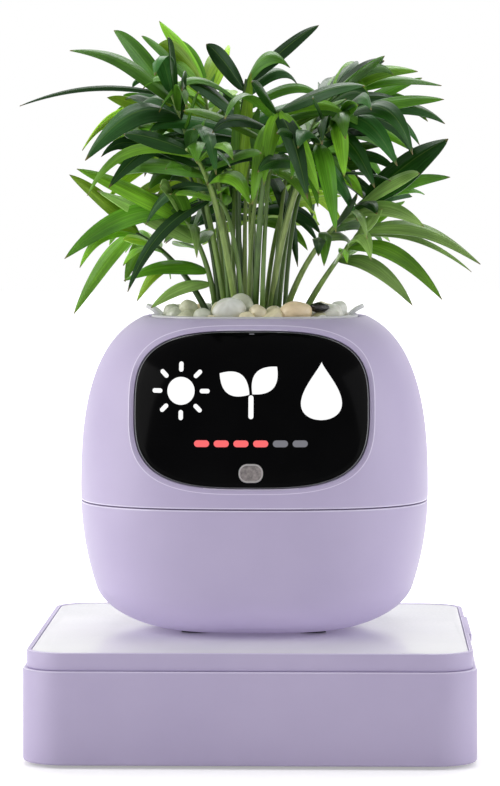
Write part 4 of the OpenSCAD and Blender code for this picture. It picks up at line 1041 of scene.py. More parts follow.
# %% The liner's ears
EAR_REACH, EAR_RISE, EAR_LEN, EAR_T, EAR_ROUND = 2.6, 3.5, 22, 1.2, 0.25
EAR_IN, EAR_SUNK, EAR_BACK, EAR_EXTRA = 0.9, 0.8, 0.5, 0.4
EAR_END_POWER, EAR_END, EAR_OUT_POWER, EAR_UP_POWER = 5, 0.25, 1.5, 0.85
clear_selection()
bpy.ops.mesh.primitive_grid_add(x_subdivisions=10, y_subdivisions=32, size=1)
ear = new_piece("liner_ear")
ear_foot = liner_in_hw + EAR_IN
for point in ear.data.vertices:
    up, along = point.co.x + 0.5, point.co.y * 2
    fade = (1 - abs(along) ** EAR_END_POWER) ** 0.5
    climb = up * (EAR_END + (1 - EAR_END) * fade)
    x = ear_foot + (liner_collar_hw + EAR_REACH - EAR_BACK - ear_foot) * climb**EAR_OUT_POWER
    y = along * EAR_LEN / 2
    z = liner_top - EAR_SUNK + (EAR_RISE + EAR_EXTRA) * climb**EAR_UP_POWER
    point.co = Vector((2 * x - plan_reach(x, y), y, z)) * MM
apply_modifier(ear, "SOLIDIFY", thickness=EAR_T * MM, offset=0)
apply_modifier(ear, "BEVEL", width=EAR_ROUND * MM, segments=2, angle_limit=math.radians(50))
take(ear)
bpy.ops.object.duplicate()
twin = bpy.context.object
bpy.ops.transform.rotate(value=math.pi, orient_axis="Z", center_override=(0, 0, 0))
bpy.ops.object.transform_apply(location=True, rotation=True, scale=True)
join(liner, ear, twin)
settle(liner, "liner", ["liner"], satin_white, pot_place)

# %% [markdown]
# Soil fills the liner. Its top is drawn in with rings like a plate, and each point is then nudged by a
# smooth noise, which gives the loose heaps that show between the stones.

# %% The soil
SOIL_DROP, SOIL_GAP, SOIL_ROUND, SOIL_SIDES = 3, 0.3, 3, 96
SOIL_SHARES = (0.92, 0.82, 0.7, 0.58, 0.46, 0.34, 0.22, 0.1)
SOIL_UP, SOIL_EDGE = 0.1, ((0, 1.2), (0.8, 0.5))
HEAP_H, HEAP_SCALE, HEAP_DROP, HEAP_REACH = 0.7, 0.23, 0.3, 0.6
soil_z = POT_H - SOIL_DROP
soil_hw = liner_in_hw - SOIL_GAP
soil_low = liner_z + LINER_WALL + SOIL_UP
soil_rings = [(soil_hw - SOIL_ROUND, soil_low), (soil_hw, soil_low + SOIL_ROUND)]
soil_rings += [(soil_hw - inset, soil_z - drop_z) for inset, drop_z in SOIL_EDGE]
soil_rings += [(soil_hw * share, soil_z - HEAP_DROP) for share in SOIL_SHARES]
soil = ring_stack("soil_fill", soil_rings, SOIL_SIDES)
cap_ends()
take(soil)
for point in soil.data.vertices:
    if point.co.z > (soil_z - HEAP_REACH) * MM:
        point.co.z += HEAP_H * MM * noise.noise(point.co / MM * HEAP_SCALE)
settle(soil, "liner", ["soil"], potting_soil, pot_place, 60)

# %% [markdown]
# The stones lie where the CAD model has them. One pebble is modelled from an ico sphere, and every stone is
# a copy with its own mesh: stretched to its size, dented by a noise of its own, turned and set on the soil.
# Small stones fill the gaps between the large ones, a few more lie on top of them at the sides, and one has
# a broken, flat side.

# %% Places and tints of the stones
CREAM, IVORY, GREY_GREEN, MOSS = (240, 230, 198), (246, 236, 200), (216, 221, 202), (222, 225, 194)
TAN, WHITE, PALE_GREY, OLIVE = (246, 224, 186), (246, 246, 238), (234, 236, 228), (206, 204, 164)
FRONT_STONES = [
    ((-28, -17), (9, 9, 8), 40, GREY_GREEN), ((-24, -23), (8, 7.4, 6.6), 10, MOSS),
    ((-18.5, -25.5), (7, 7.6, 8), -10, GREY_GREEN), ((-15, -29), (4.4, 4, 5), 0, CREAM),
    ((-8.8, -25), (12.4, 10, 12.6), 8, PALE_GREY), ((-4.6, -19.5), (10.5, 8, 14.4), -20, GREY_GREEN),
    ((-2.4, -29), (6.4, 5.4, 6.4), 10, IVORY), ((1.6, -25.5), (7, 7, 9.6), -14, CREAM),
    ((6.6, -27.5), (9.4, 7, 8.4), 24, IVORY), ((15.2, -24.5), (12.6, 10.5, 11), 6, TAN),
    ((24, -22), (7, 6.6, 6), 20, OLIVE), ((29, -15.6), (10, 8.4, 9.6), 76, WHITE),
    ((25.2, -26), (5.6, 4.6, 5), 40, WHITE),
]
STONE_ROWS = [(28, -12, 192, 14), (19.5, -20, 200, 10), (12, -60, 180, 6)]
TOP_STONES = [
    ((26.4, -20.4), (12, 6.4, 6.6), -24, 1.2, WHITE), ((31, -13), (6.4, 7, 8), 30, 2.4, PALE_GREY),
    ((-30, -11.5), (7, 7.4, 7.4), 20, 1.6, GREY_GREEN), ((-24, -16.5), (7.4, 7, 8), 50, 2.8, MOSS),
    ((-12.6, -17), (6, 6, 9), 0, 1.4, OLIVE),
]
BROKEN_STONE, BREAK_WAY, BREAK_AT = 8, Vector((-0.62, -0.22, 0.75)), 0.30
STALK_FEET = [
    (-10, -4), (-11, 3), (-5, -1), (8, 4), (5, -5), (0, -7), (16, 0), (10, -1), (-16, 4), (-14, -1), (-6, 9),
    (6, 10), (0, 13), (-6, -9),
]
STALK_R, STALK_TIP_R = 1.3, 0.6


def wobble(i, k):
    """A number between -1 and 1 that looks random but is always the same."""
    return math.sin(math.radians(i * 67 + k * 131))


def on_square(reach, turn):
    """The place on a rounded square, seen from above, that belongs to a turn."""
    ways = (math.cos(turn), math.sin(turn))
    return [reach * math.copysign(abs(way) ** (2 / PLAN_POWER), way) for way in ways]


def varied(means, spreads, waves):
    """Sizes that each stray from a mean by a wave."""
    return [mean + spread * wave for mean, spread, wave in zip(means, spreads, waves)]


stones = list(FRONT_STONES)
ROW_TINTS = (CREAM, PALE_GREY, IVORY, WHITE, MOSS, GREY_GREEN, TAN)
ROW_SIZE, ROW_VARY = (9.6, 8.2, 8), (2, 1, 1.4)
ROW_TURN, ROW_TURN_VARY, STALK_CLEAR = 90, 20, 1
for k, (reach, first, last, count) in enumerate(STONE_ROWS):
    for i in range(count):
        turn = first + (last - first) * i / (count - 1)
        spot = on_square(reach, math.radians(turn))
        size = varied(ROW_SIZE, ROW_VARY, [wobble(i, k + n) for n in range(3)])
        clear = min(math.dist(spot, foot) for foot in STALK_FEET) - STALK_R
        if clear > size[0] / 2 + STALK_CLEAR:
            tint = ROW_TINTS[(i * 3 + k) % len(ROW_TINTS)]
            stones.append((spot, size, turn + ROW_TURN + ROW_TURN_VARY * wobble(i, 5), tint))
print("Large stones:", len(stones))

# %% Model one pebble and copy it
DENT, DENT_SCALE, PIT, PIT_SCALE = 0.11, 1.1, 0.03, 2.6
STONE_DEEP, STONE_FLAT, STONE_SKEW, BREAK_SHARE = 0.84, 0.82, 0.1, 0.92
BED, CROWN = 0.1, 0.4
FILL_ROWS = ((30.5, 30), (24.5, 24), (16, 16), (7, 8))
FILL_SIZE, FILL_VARY = (5.4, 4.6, 3.8), (1.2, 0.8, 0.6)
FILL_UP, FILL_UP_VARY, FILL_TURN = 0.9, 0.5, 70
TOP_SEED, FILL_SEED, FILL_SEED_STEP = 90, 50, 9


def paint(piece, colour):
    """Give every point of a piece one tint."""
    layer = piece.data.color_attributes.new("tint", "FLOAT_COLOR", "POINT")
    layer.data.foreach_set("color", list(srgb(*colour)) * len(piece.data.vertices))


def stone_copy(pattern, name, mid, size, turn, colour, seed, broken=False):
    """A copy of the pebble with its own dents, size, turn and tint, and a flat side if it is broken."""
    piece = copy_piece(pattern, name)
    swing = math.radians(turn)
    for point in piece.data.vertices:
        way = point.co.copy()
        if broken:
            way -= BREAK_WAY * max(way.dot(BREAK_WAY) - BREAK_AT, 0) * BREAK_SHARE
        dent = 1 + DENT * noise.noise(way * DENT_SCALE + Vector((seed * 3.7, seed, 0)))
        dent += PIT * noise.noise(way * PIT_SCALE + Vector((0, seed * 2.1, seed)))
        x = way.x * dent * size[0] / 2 + STONE_SKEW * size[0] * way.x * way.y * wobble(seed, 2) * 0.5
        y = way.y * dent * STONE_DEEP * size[1] / 2
        z = way.z * dent * STONE_FLAT * size[2] / 2
        point.co = Vector((
            mid[0] + x * math.cos(swing) - y * math.sin(swing),
            mid[1] + x * math.sin(swing) + y * math.cos(swing), mid[2] + z,
        )) * MM
    paint(piece, colour)
    return piece


def stone_mid(height):
    """How high the middle of a stone lies that rests on the soil."""
    return soil_z + BED + height * CROWN


clear_selection()
bpy.ops.mesh.primitive_ico_sphere_add(subdivisions=4, radius=1)
pebble = new_piece("pebble_pattern")
edit(pebble)
bpy.ops.mesh.vertices_smooth(factor=0.4, repeat=2)
take(pebble)
heap = []
for seed, (spot, size, turn, colour) in enumerate(stones):
    mid = (*spot, stone_mid(size[2]))
    heap.append(stone_copy(pebble, "pebble", mid, size, turn, colour, seed, seed == BROKEN_STONE))
for k, (spot, size, turn, lift, colour) in enumerate(TOP_STONES):
    mid = (*spot, stone_mid(size[2]) + lift)
    heap.append(stone_copy(pebble, "top_stone", mid, size, turn, colour, TOP_SEED + k))
for k, (reach, count) in enumerate(FILL_ROWS):
    for i in range(count):
        turn = math.tau * (i + 0.5 * k) / count
        spot = on_square(reach, turn)
        size = varied(FILL_SIZE, FILL_VARY, (wobble(i, k), wobble(i, k + 4), wobble(k, i)))
        mid = (*spot, soil_z + FILL_UP + FILL_UP_VARY * wobble(i, k + 9))
        colour = ROW_TINTS[(i * 2 + k) % len(ROW_TINTS)]
        seed = FILL_SEED + i + FILL_SEED_STEP * k
        heap.append(stone_copy(pebble, "filler", mid, size, FILL_TURN * i, colour, seed))
join(*heap)
pebbles = new_piece("pebble_bed")
settle(pebbles, "liner", ["pebbles"], pale_stone, pot_place, 80, merge=0.0005)

# %% The dark pebble
DARK_SEAT, DARK_SINK, DARK_TURN, DARK_SEED = 10, 0.3, 15, 7
seat_spot, seat_size = FRONT_STONES[DARK_SEAT][:2]
crown = stone_mid(seat_size[2]) + seat_size[2] * CROWN
dark_size, dark_tint = (7.4, 6.2, 4.8), (24, 22, 19)
dark_mid = (*seat_spot, crown + dark_size[2] * CROWN - DARK_SINK)
dark_pebble = stone_copy(pebble, "dark_pebble_stone", dark_mid, dark_size, DARK_TURN, dark_tint, DARK_SEED)
settle(dark_pebble, "liner", ["dark_pebble"], dark_stone, pot_place, 80, merge=0.0005)
bpy.data.objects.remove(pebble, do_unlink=True)

# %% [markdown]
# A palm frond is a stalk with leaflets on both sides. One leaflet is modelled as a grid, with its UV map
# along and across the blade. Each leaflet is a copy that is bowed along its own midrib, narrowed to its
# tip and folded down beside the rib. The real clump is dense, so most fronds of the CAD model carry twice
# their leaflets here, slimmer ones, and the upright fronds get thin side shoots that fill the middle.

# %% The fronds, as in the CAD source
FRONDS = [
    ((-17, -9, 52), (-31, -14, 86), 42, 10, 4, 0.64),
    ((-14, 6, 62), (-20, 9, 90), 38, 9, 4, 0.66),
    ((-8, -3, 64), (-3, -6, 90), 38, 9, 5, 0.60),
    ((13, 7, 68), (29, 10, 86), 40, 9, 5, 0.60),
    ((14, -16, 70), (36, -24, 77), 40, 9, 5, 0.55),
    ((3, -22, 74), (10, -33, 78), 38, 9, 5, 0.56),
    ((26, -2, 20), (40, -4, 35), 28, 8, 2, 0.60),
    ((19, -5, 32), (42, -9, 46), 34, 9, 3, 0.55),
    ((-28, 7, 26), (-46, 9, 34), 28, 8, 2, 0.60),
    ((-16, -3, 26), (-28, -6, 42), 32, 9, 2, 0.60),
    ((-14, 22, 64), (-30, 32, 76), 40, 9, 5, 0.56),
    ((15, 25, 66), (30, 35, 78), 40, 9, 5, 0.56),
    ((-2, 30, 52), (-2, 46, 54), 38, 9, 5, 0.50),
    ((-14, -22, 60), (-24, -33, 64), 38, 9, 5, 0.56),
]
LONG_LEAFLETS = [
    (1, 0.96, (-86, -12, 80), 6, 10), (1, 0.92, (-67, -20, 100), 9, 12), (1, 0.86, (-61, -27, 60), 14, 18),
    (1, 0.74, (-53, -20, 50), 9, 12), (2, 0.96, (-36, 13, 112), 8, 4), (2, 0.90, (-28, 18, 105), 8, 5),
    (3, 0.66, (-48, -8, 62), 8, 8), (3, 0.56, (-37, -14, 56), 6, 4), (3, 0.97, (13, -12, 94), 9, 14),
    (4, 0.96, (69, 13, 88), 8, 8), (4, 0.90, (60, 4, 93), 10, 10), (4, 0.80, (56, 22, 82), 8, 8),
    (5, 0.96, (69, -27, 82), 7, 4), (5, 0.88, (52, -42, 58), 10, 14), (5, 0.76, (44, -40, 50), 9, 12),
    (5, 0.68, (30, -36, 34), 9, 14), (5, 0.60, (38, -26, 38), 8, 12), (6, 0.92, (20, -50, 46), 9, 12),
    (6, 0.80, (0, -46, 44), 8, 12), (7, 0.97, (83, -6, 22), 9, 14), (7, 0.90, (80, 3, 19), 6, 12),
    (7, 0.78, (69, -10, 9), 8, 15), (7, 0.64, (58, -14, 7), 8, 12), (8, 0.97, (71, -10, 68), 16, 4),
    (8, 0.90, (72, 0, 54), 7, 6), (8, 0.80, (62, -24, 36), 8, 10), (9, 0.97, (-68, 13, 3), 8, 8),
    (9, 0.84, (-49, 14, 15), 7, 6), (9, 0.92, (-69, 4, 55), 7, 3), (10, 0.97, (-70, -8, 24), 10, 13),
    (10, 0.84, (-65, -14, 57), 9, 4), (10, 0.66, (-58, -4, 49), 11, 3), (10, 0.40, (-48, -10, 16), 9, 8),
]
# The tints are partly the leaves' own variety and partly painted light: where they go copies how light falls.
DEEP, COOL, MID, FRESH = (27, 61, 16), (47, 92, 39), (80, 132, 34), (120, 178, 48)
SUNLIT, SOFT = (156, 202, 56), (140, 178, 96)
ADDED_LEAFLETS = [
    (6, 0.95, (4, -40, 51), 7.5, 9, FRESH), (6, 0.99, (24, -46, 48), 7.5, 7, FRESH),
    (5, 0.86, (33, -46, 54), 8, 9, FRESH), (3, 0.42, (-1, -22, 92), 7, -2, SUNLIT),
    (3, 0.46, (-6, -20, 84), 6.4, -2, FRESH), (3, 0.5, (2, -18, 80), 6.4, -1, MID),
    (11, 0.90, (-60, 26, 66), 8, 6, SUNLIT), (11, 0.80, (-56, 22, 46), 8, 7, SUNLIT),
    (11, 0.62, (-50, 16, 60), 8, 4, SUNLIT), (2, 0.80, (-50, 16, 74), 8, 7, FRESH),
    (2, 0.60, (-42, 6, 58), 9, 3, SUNLIT), (2, 0.52, (-36, 2, 48), 9, 3, SUNLIT),
    (10, 0.30, (-38, -12, 6), 6.4, 6, SOFT), (9, 0.5, (-44, 4, 8), 6.4, 9, SUNLIT),
    (12, 0.92, (62, 28, 62), 8, 8, FRESH), (12, 0.80, (50, 22, 44), 8, 9, MID),
    (13, 0.80, (10, 50, 36), 7, 8, MID),
]
LEAF_TURN = 1.6
print("Fronds:", len(FRONDS), "long leaflets:", len(LONG_LEAFLETS) + len(ADDED_LEAFLETS))

# %% Where a stalk goes
def bow_at(root, bow, tip, share):
    """The point at a share of the way along a bowed line."""
    return root * (1 - share) ** 2 + bow * 2 * share * (1 - share) + tip * share**2


def bow_way(root, bow, tip, share):
    """The way that a bowed line goes at a share of its length."""
    return ((bow - root) * (1 - share) + (tip - bow) * share).normalized()


def stalk_points(number):
    """Foot, bend and tip of a frond's stalk, above the soil."""
    bow, tip = FRONDS[number][:2]
    return Vector((*STALK_FEET[number], 0)), Vector(bow), Vector(tip)


UPRIGHT_Z, SHOOT_ASIDE, SHOOT_BEND = 50, 2.8, 0.4
SHOOT_OUT, SHOOT_OUT_STEP, SHOOT_HIGH, SHOOT_HIGH_STEP = 0.42, 0.2, 0.98, 0.14
SHOOT_DEPTH, SHOOT_BACK = 0.5, 10


def shoot_list(number):
    """Foot, bend and tip of the thin side shoots of an upright frond."""
    foot, bow, tip = stalk_points(number)
    if tip.z < UPRIGHT_Z:
        return []
    shoots = []
    for k in (1, 2):
        aside = Vector((SHOOT_ASIDE * wobble(number, k), SHOOT_ASIDE * wobble(number, k + 4), 0))
        x = tip.x * (SHOOT_OUT + SHOOT_OUT_STEP * k)
        z = tip.z * (SHOOT_HIGH - SHOOT_HIGH_STEP * k)
        end = Vector((x, tip.y * SHOOT_DEPTH + SHOOT_BACK, z))
        bend = (bow + foot) * 0.5 + Vector((0, 0, bow.z * SHOOT_BEND))
        shoots.append((foot + aside, bend + aside, end + aside))
    return shoots


print("Side shoots:", sum(len(shoot_list(i)) for i in range(len(FRONDS))))

# %% Where its leaflets go
PAIRS_EACH, SLIM, GRASSY, SLIM_GRASS, LONG_WIDER = 2, 0.70, 6, 0.6, 0.1
SHOOT_SHARE, SHOOT_PAIRS, SHOOT_BARE = 0.9, 2, 0.66
SPREAD, SPREAD_FALL, SPREAD_VARY = 72, 42, 8
LONG_LEAST, LONG_MORE, LONG_VARY, BROAD, BROAD_VARY = 0.94, 0.18, 0.22, 0.92, 0.2
SAG, SAG_VARY, FACING_VARY, BOW_AT, TIP_AT = 0.36, 0.26, 0.7, 0.6, 0.86
BACK_Y, SHOOT_SEED = 20, 20
THIN_FRONDS = (3, 6, 14)
# Back and left fronds lean to the brighter tints, a painted backlight; front and top ones to the darker, a
# painted shade.
FROND_TINTS = [
    (DEEP, MID, COOL), (FRESH, MID, SUNLIT), (DEEP, COOL, MID), (DEEP, MID, FRESH), (DEEP, MID, COOL),
    (DEEP, FRESH, MID), (SOFT, FRESH, SOFT), (DEEP, MID, SOFT), (FRESH, SUNLIT, FRESH), (FRESH, SOFT, MID),
    (SUNLIT, FRESH, MID), (DEEP, MID, FRESH), (SUNLIT, DEEP, FRESH), (DEEP, MID, FRESH),
]


def pinnate(curve, length, width, pairs, bare, seed, facing):
    """Root, bow, tip, width and facing of leaflets in pairs along a stalk."""
    plan = Vector((curve[2].x - curve[0].x, curve[2].y - curve[0].y, 0)).normalized()
    side = Vector((-plan.y, plan.x, 0))
    found = []
    for j in range(pairs):
        for s in (-1, 1):
            share = (j + (0.5 if s > 0 else 0)) / pairs
            at = bare + (1 - bare) * share
            spread = math.radians(SPREAD - SPREAD_FALL * share + SPREAD_VARY * wobble(seed, j + s))
            root = bow_at(*curve, at)
            way = (bow_way(*curve, at) * math.cos(spread) + side * s * math.sin(spread)).normalized()
            full = LONG_LEAST + LONG_MORE * math.sin(math.pi * share)
            long = length * full * (1 + LONG_VARY * wobble(j * 3 + s, seed))
            sag = Vector((0, 0, long * (SAG + SAG_VARY * wobble(j * 2 + s, seed + s))))
            aside = (FACING_VARY * wobble(seed, j + s), FACING_VARY * wobble(j, seed + 3), 0)
            turned = facing + Vector(aside)
            broad = width * (BROAD + BROAD_VARY * wobble(seed, j + 2 * s))
            bow, tip = root + way * long * BOW_AT, root + way * long * TIP_AT - sag
            found.append((root, bow, tip, broad, turned))
    return found


def leaflet_list(number):
    """Every leaflet of a frond and of its side shoots, with its tint."""
    length, width, pairs, bare = FRONDS[number][2:]
    curve = stalk_points(number)
    facing = Vector((0, -LEAF_TURN if curve[2].y < BACK_Y else LEAF_TURN, 1))
    each = 1 if number + 1 in THIN_FRONDS else PAIRS_EACH
    found = pinnate(curve, length, width * SLIM, pairs * each, bare, number, facing)
    for k, shoot in enumerate(shoot_list(number)):
        size = (length * SHOOT_SHARE, width * SLIM * SHOOT_SHARE)
        found += pinnate(shoot, *size, SHOOT_PAIRS, SHOOT_BARE, number + SHOOT_SEED * (k + 1), facing)
    tints = FROND_TINTS[number]
    found = [(*spec, tints[(k * 2 + k // 3) % 3]) for k, spec in enumerate(found)]
    for frond_number, at, tip, broad, arch, *tint in LONG_LEAFLETS + ADDED_LEAFLETS:
        if frond_number == number + 1:
            root = bow_at(*curve, at)
            bow = (root + Vector(tip)) / 2 + Vector((0, 0, arch))
            colour = tint[0] if tint else tints[len(found) % 3]
            blade = broad * (SLIM + LONG_WIDER if broad > GRASSY else SLIM * SLIM_GRASS)
            found.append((root, bow, Vector(tip), blade, facing, colour))
    return found


print("Leaflets:", sum(len(leaflet_list(i)) for i in range(len(FRONDS))))

# %% Model one leaflet and bow each copy
clear_selection()
bpy.ops.mesh.primitive_grid_add(x_subdivisions=18, y_subdivisions=6, size=1)
leaflet = new_piece("leaflet_pattern")
LEAF_SHADE, LEAF_ROLL, LEAF_FOLD, LEAF_SPAN, LEAF_T = 0.18, 0.6, 0.32, 0.96, 0.35
LEAF_RIPPLE, LEAF_RIPPLES = 0.06, 9
BLADE_RISE, BLADE_FALL, BLADE_WIDEST, BLADE_FOOT, BLADE_TIP = 0.55, 0.8, 0.402, 0.08, 0.012


def blade_half(share):
    """A lance-shaped blade: half its width, 1 at the widest, at a share of its length."""
    lance = share**BLADE_RISE * (1 - share) ** BLADE_FALL / BLADE_WIDEST
    return max(lance, BLADE_FOOT * (1 - share) + BLADE_TIP)


def bow_leaflet(name, root, bow, tip, width, facing, colour, seed):
    """A copy of the leaflet along its own midrib."""
    piece = copy_piece(leaflet, name)
    across = (tip - root).cross(facing).normalized()
    roll = LEAF_ROLL * wobble(seed, 3)
    for point in piece.data.vertices:
        share = min(max(point.co.x + 0.5, 0.0), 1.0)
        side = point.co.y * 2
        middle = bow_at(root, bow, tip, share)
        twist = roll * share
        face = across.cross(bow_way(root, bow, tip, share)).normalized()
        lean = across * math.cos(twist) + face * math.sin(twist)
        fold = face * math.cos(twist) - across * math.sin(twist)
        half = width / 2 * blade_half(share)
        ripple = LEAF_RIPPLE * math.sin(LEAF_RIPPLES * share + seed)
        sink = half * (LEAF_FOLD * abs(side) + ripple * abs(side))
        point.co = (middle + lean * side * half * LEAF_SPAN - fold * sink + Vector((0, 0, soil_z))) * MM
    shade = 1 + LEAF_SHADE * wobble(seed * 5, 1)
    paint(piece, tuple(part * shade for part in colour))
    return piece


print("Leaflet pattern has", len(leaflet.data.polygons), "faces")

# %% Bend the stalks and join the fronds
STALK_TINTS = [(118, 148, 66), (84, 116, 46), (150, 172, 96), (102, 134, 56), (66, 94, 38), (134, 160, 80)]
SHOOT_THIN, HANDLE_AT, HANDLE_BACK = 0.75, 2 / 3, -0.2


def bend_stalk(curve, foot_r, tip_r, colour):
    """A tapered stalk along a Bezier curve, made a mesh."""
    foot, bow, tip = (spot + Vector((0, 0, soil_z)) for spot in curve)
    clear_selection()
    bpy.ops.curve.primitive_bezier_curve_add(radius=1)
    piece = new_piece("stalk")
    piece.data.bevel_depth = MM
    piece.data.bevel_resolution = 3
    piece.data.resolution_u = 18
    piece.data.use_fill_caps = True
    first, last = piece.data.splines[0].bezier_points
    for knot, spot, radius in ((first, foot, foot_r), (last, tip, tip_r)):
        knot.handle_left_type = "FREE"
        knot.handle_right_type = "FREE"
        knot.co = spot * MM
        knot.radius = radius
    first.handle_right = foot.lerp(bow, HANDLE_AT) * MM
    first.handle_left = foot.lerp(bow, HANDLE_BACK) * MM
    last.handle_left = tip.lerp(bow, HANDLE_AT) * MM
    last.handle_right = tip.lerp(bow, HANDLE_BACK) * MM
    take(piece)
    bpy.ops.object.convert(target="MESH")
    stalk = bpy.context.object
    stalk.data.materials.append(palm_stalk)
    paint(stalk, colour)
    return stalk


for number in range(len(FRONDS)):
    blades = []
    for k, spec in enumerate(leaflet_list(number)):
        blades.append(bow_leaflet("blade", *spec, number * 7 + k))
    join(*blades)
    palm = new_piece("palm_frond_%d" % (number + 1))
    apply_modifier(palm, "SOLIDIFY", thickness=LEAF_T * MM, offset=0)
    palm.data.materials.append(palm_leaf)
    tints = [STALK_TINTS[(number * 5 + k * 2) % len(STALK_TINTS)] for k in range(3)]
    stalks = [bend_stalk(stalk_points(number), STALK_R, STALK_TIP_R, tints[0])]
    for shoot, tint in zip(shoot_list(number), tints[1:]):
        stalks.append(bend_stalk(shoot, STALK_R * SHOOT_THIN, STALK_TIP_R * SHOOT_THIN, tint))
    join(palm, *stalks)
    settle(palm, "liner", ["frond_%d" % (number + 1)], None, pot_place, 60, merge=0.0002)
bpy.data.objects.remove(leaflet, do_unlink=True)

# %% [markdown]
# The base is a block with a shallow tray on top and a white plate in the tray. Each starts as a cube: the
# upright edges are bevelled to the plan's corner radius, the long edges get a small radius, and insets and
# extrusions hollow it out.

# %% Sizes and a helper for blocks
BASE_W, BASE_D, BASE_H, BASE_CORNER, BASE_WALL, PAD_T = 160, 170, 33, 16, 2.6, 1
TRAY_H, TRAY_INSET, TRAY_RIM, PANEL_T, PANEL_DROP = 6.4, 1.4, 1.6, 2.8, 0.2
TAB_LEN, TAB_Y, TAB_LIP, TAB_CORNER, NOTCH_CORNER = 56, 8, 0.5, 0.9, 0.3
BASE_ROUND, BASE_FOOT_ROUND, TRAY_FOOT_ROUND, RIM_ROUND, PLATE_ROUND = 0.7, 1.0, 0.5, 0.35, 0.4
NOTCH_IN, NOTCH_OUT, NOTCH_UP = 1, 2, 20
UPRIGHT_EDGE, SLOPE_LOW, SLOPE_HIGH = 0.1, 0.3, 0.97
base_high = PAD_T + BASE_H
base_top = base_high + TRAY_H - PANEL_DROP


def block(name, low, high, corner, segments=14):
    """A cube between two corners, with its upright edges bevelled round."""
    clear_selection()
    low, high = Vector(low), Vector(high)
    bpy.ops.mesh.primitive_cube_add(size=MM, location=(low + high) / 2 * MM)
    piece = new_piece(name)
    piece.scale = high - low
    bpy.ops.object.transform_apply(location=True, rotation=True, scale=True)
    edit(piece)
    choose(piece, "EDGE", lambda line: abs(line.verts[0].co.z - line.verts[1].co.z) > UPRIGHT_EDGE * MM)
    bpy.ops.mesh.bevel(offset=corner * MM, segments=segments, affect="EDGES")
    return piece


def soften(piece, height, width):
    """Bevel every edge that lies flat at a height."""
    def lies_flat(line):
        return all(abs(end.co.z - height * MM) < SAME_PLACE * MM for end in line.verts)
    choose(piece, "EDGE", lies_flat)
    bpy.ops.mesh.bevel(offset=width * MM, segments=3, affect="EDGES")


def flat_at(height, up):
    """A test for faces that lie at a height and look up or down."""
    def test(face):
        away = abs(face.calc_center_median().z - height * MM)
        return away < SAME_PLACE * MM and face.normal.z * up > LOOKS_ALONG
    return test


def on_top_edge_highlight(height, width):
    """A test for the sloping faces of a bevel at the top of a piece, where a highlight is painted."""
    def test(face):
        return face.center.z > (height - width) * MM and SLOPE_LOW < face.normal.z < SLOPE_HIGH
    return test


print("Base top at", base_top, "mm")

# %% The base shell
half_w, half_d = BASE_W / 2, BASE_D / 2
base_shell = block("base_shell_box", (-half_w, -half_d, PAD_T), (half_w, half_d, base_high), BASE_CORNER)
soften(base_shell, base_high, BASE_ROUND)
soften(base_shell, PAD_T, BASE_FOOT_ROUND)
choose(base_shell, "FACE", flat_at(PAD_T, -1))
bpy.ops.mesh.inset(thickness=(BASE_WALL - BASE_FOOT_ROUND) * MM)
extrude_by(0, 0, BASE_H - BASE_WALL)
settle(base_shell, "base", ["base_shell"], lavender)
# The sloping faces of the shell's top bevel get the paler lavender, a painted highlight.
second_finish(base_shell, painted_highlight_lavender, on_top_edge_highlight(base_high, BASE_ROUND))

# %% The tray, its notch and its tab
half_w, half_d = BASE_W / 2 - TRAY_INSET, BASE_D / 2 - TRAY_INSET
tray_top = base_high + TRAY_H
tray_corner = BASE_CORNER - TRAY_INSET
tray = block("base_tray_frame", (-half_w, -half_d, base_high), (half_w, half_d, tray_top), tray_corner)
soften(tray, base_high, TRAY_FOOT_ROUND)
choose(tray, "FACE", flat_at(tray_top, 1))
bpy.ops.mesh.inset(thickness=TRAY_RIM * MM)
extrude_by(0, 0, -(PANEL_T + PANEL_DROP))
soften(tray, tray_top, RIM_ROUND)
notch_low = (half_w - TRAY_RIM - NOTCH_IN, TAB_Y - TAB_LEN / 2, base_top - PANEL_T)
notch_high = (half_w + NOTCH_OUT, TAB_Y + TAB_LEN / 2, tray_top + NOTCH_UP)
notch = block("tab_notch", notch_low, notch_high, NOTCH_CORNER, 2)
cut(tray, notch)
settle(tray, "base", ["base_tray"], lavender)
# The tray's rim bevel gets the same painted highlight.
second_finish(tray, painted_highlight_lavender, on_top_edge_highlight(tray_top, RIM_ROUND))
tab_low, tab_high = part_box("tray_tab")
tab_end = tab_high / MM + Vector((TAB_LIP, 0, 0))
tab = block("tray_tab_bar", tab_low / MM, tab_end, TAB_CORNER, 4)
soften(tab, tab_end.z, RIM_ROUND)
settle(tab, "base", ["tray_tab"], lavender)
# So does the tab's top bevel, a painted highlight.
second_finish(tab, painted_highlight_lavender, on_top_edge_highlight(tab_end.z, RIM_ROUND))

# %% The white plate
plate_low, plate_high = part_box("base_top_panel")
plate_corner = BASE_CORNER - TRAY_INSET - TRAY_RIM - FIT_GAP
plate = block("white_top_plate", plate_low / MM, plate_high / MM, plate_corner)
soften(plate, plate_high.z / MM, PLATE_ROUND)
settle(plate, "base", ["base_top_panel"], gloss_white)

# %% [markdown]
# The power button at the back is a small cap with a dished face. A flange keeps it in its hole, and a thin
# plunger reaches the switch behind it. It is drawn from the plunger outwards: a disc is extruded and scaled
# step by step, and the face is inset, pushed in and bevelled at its edge.

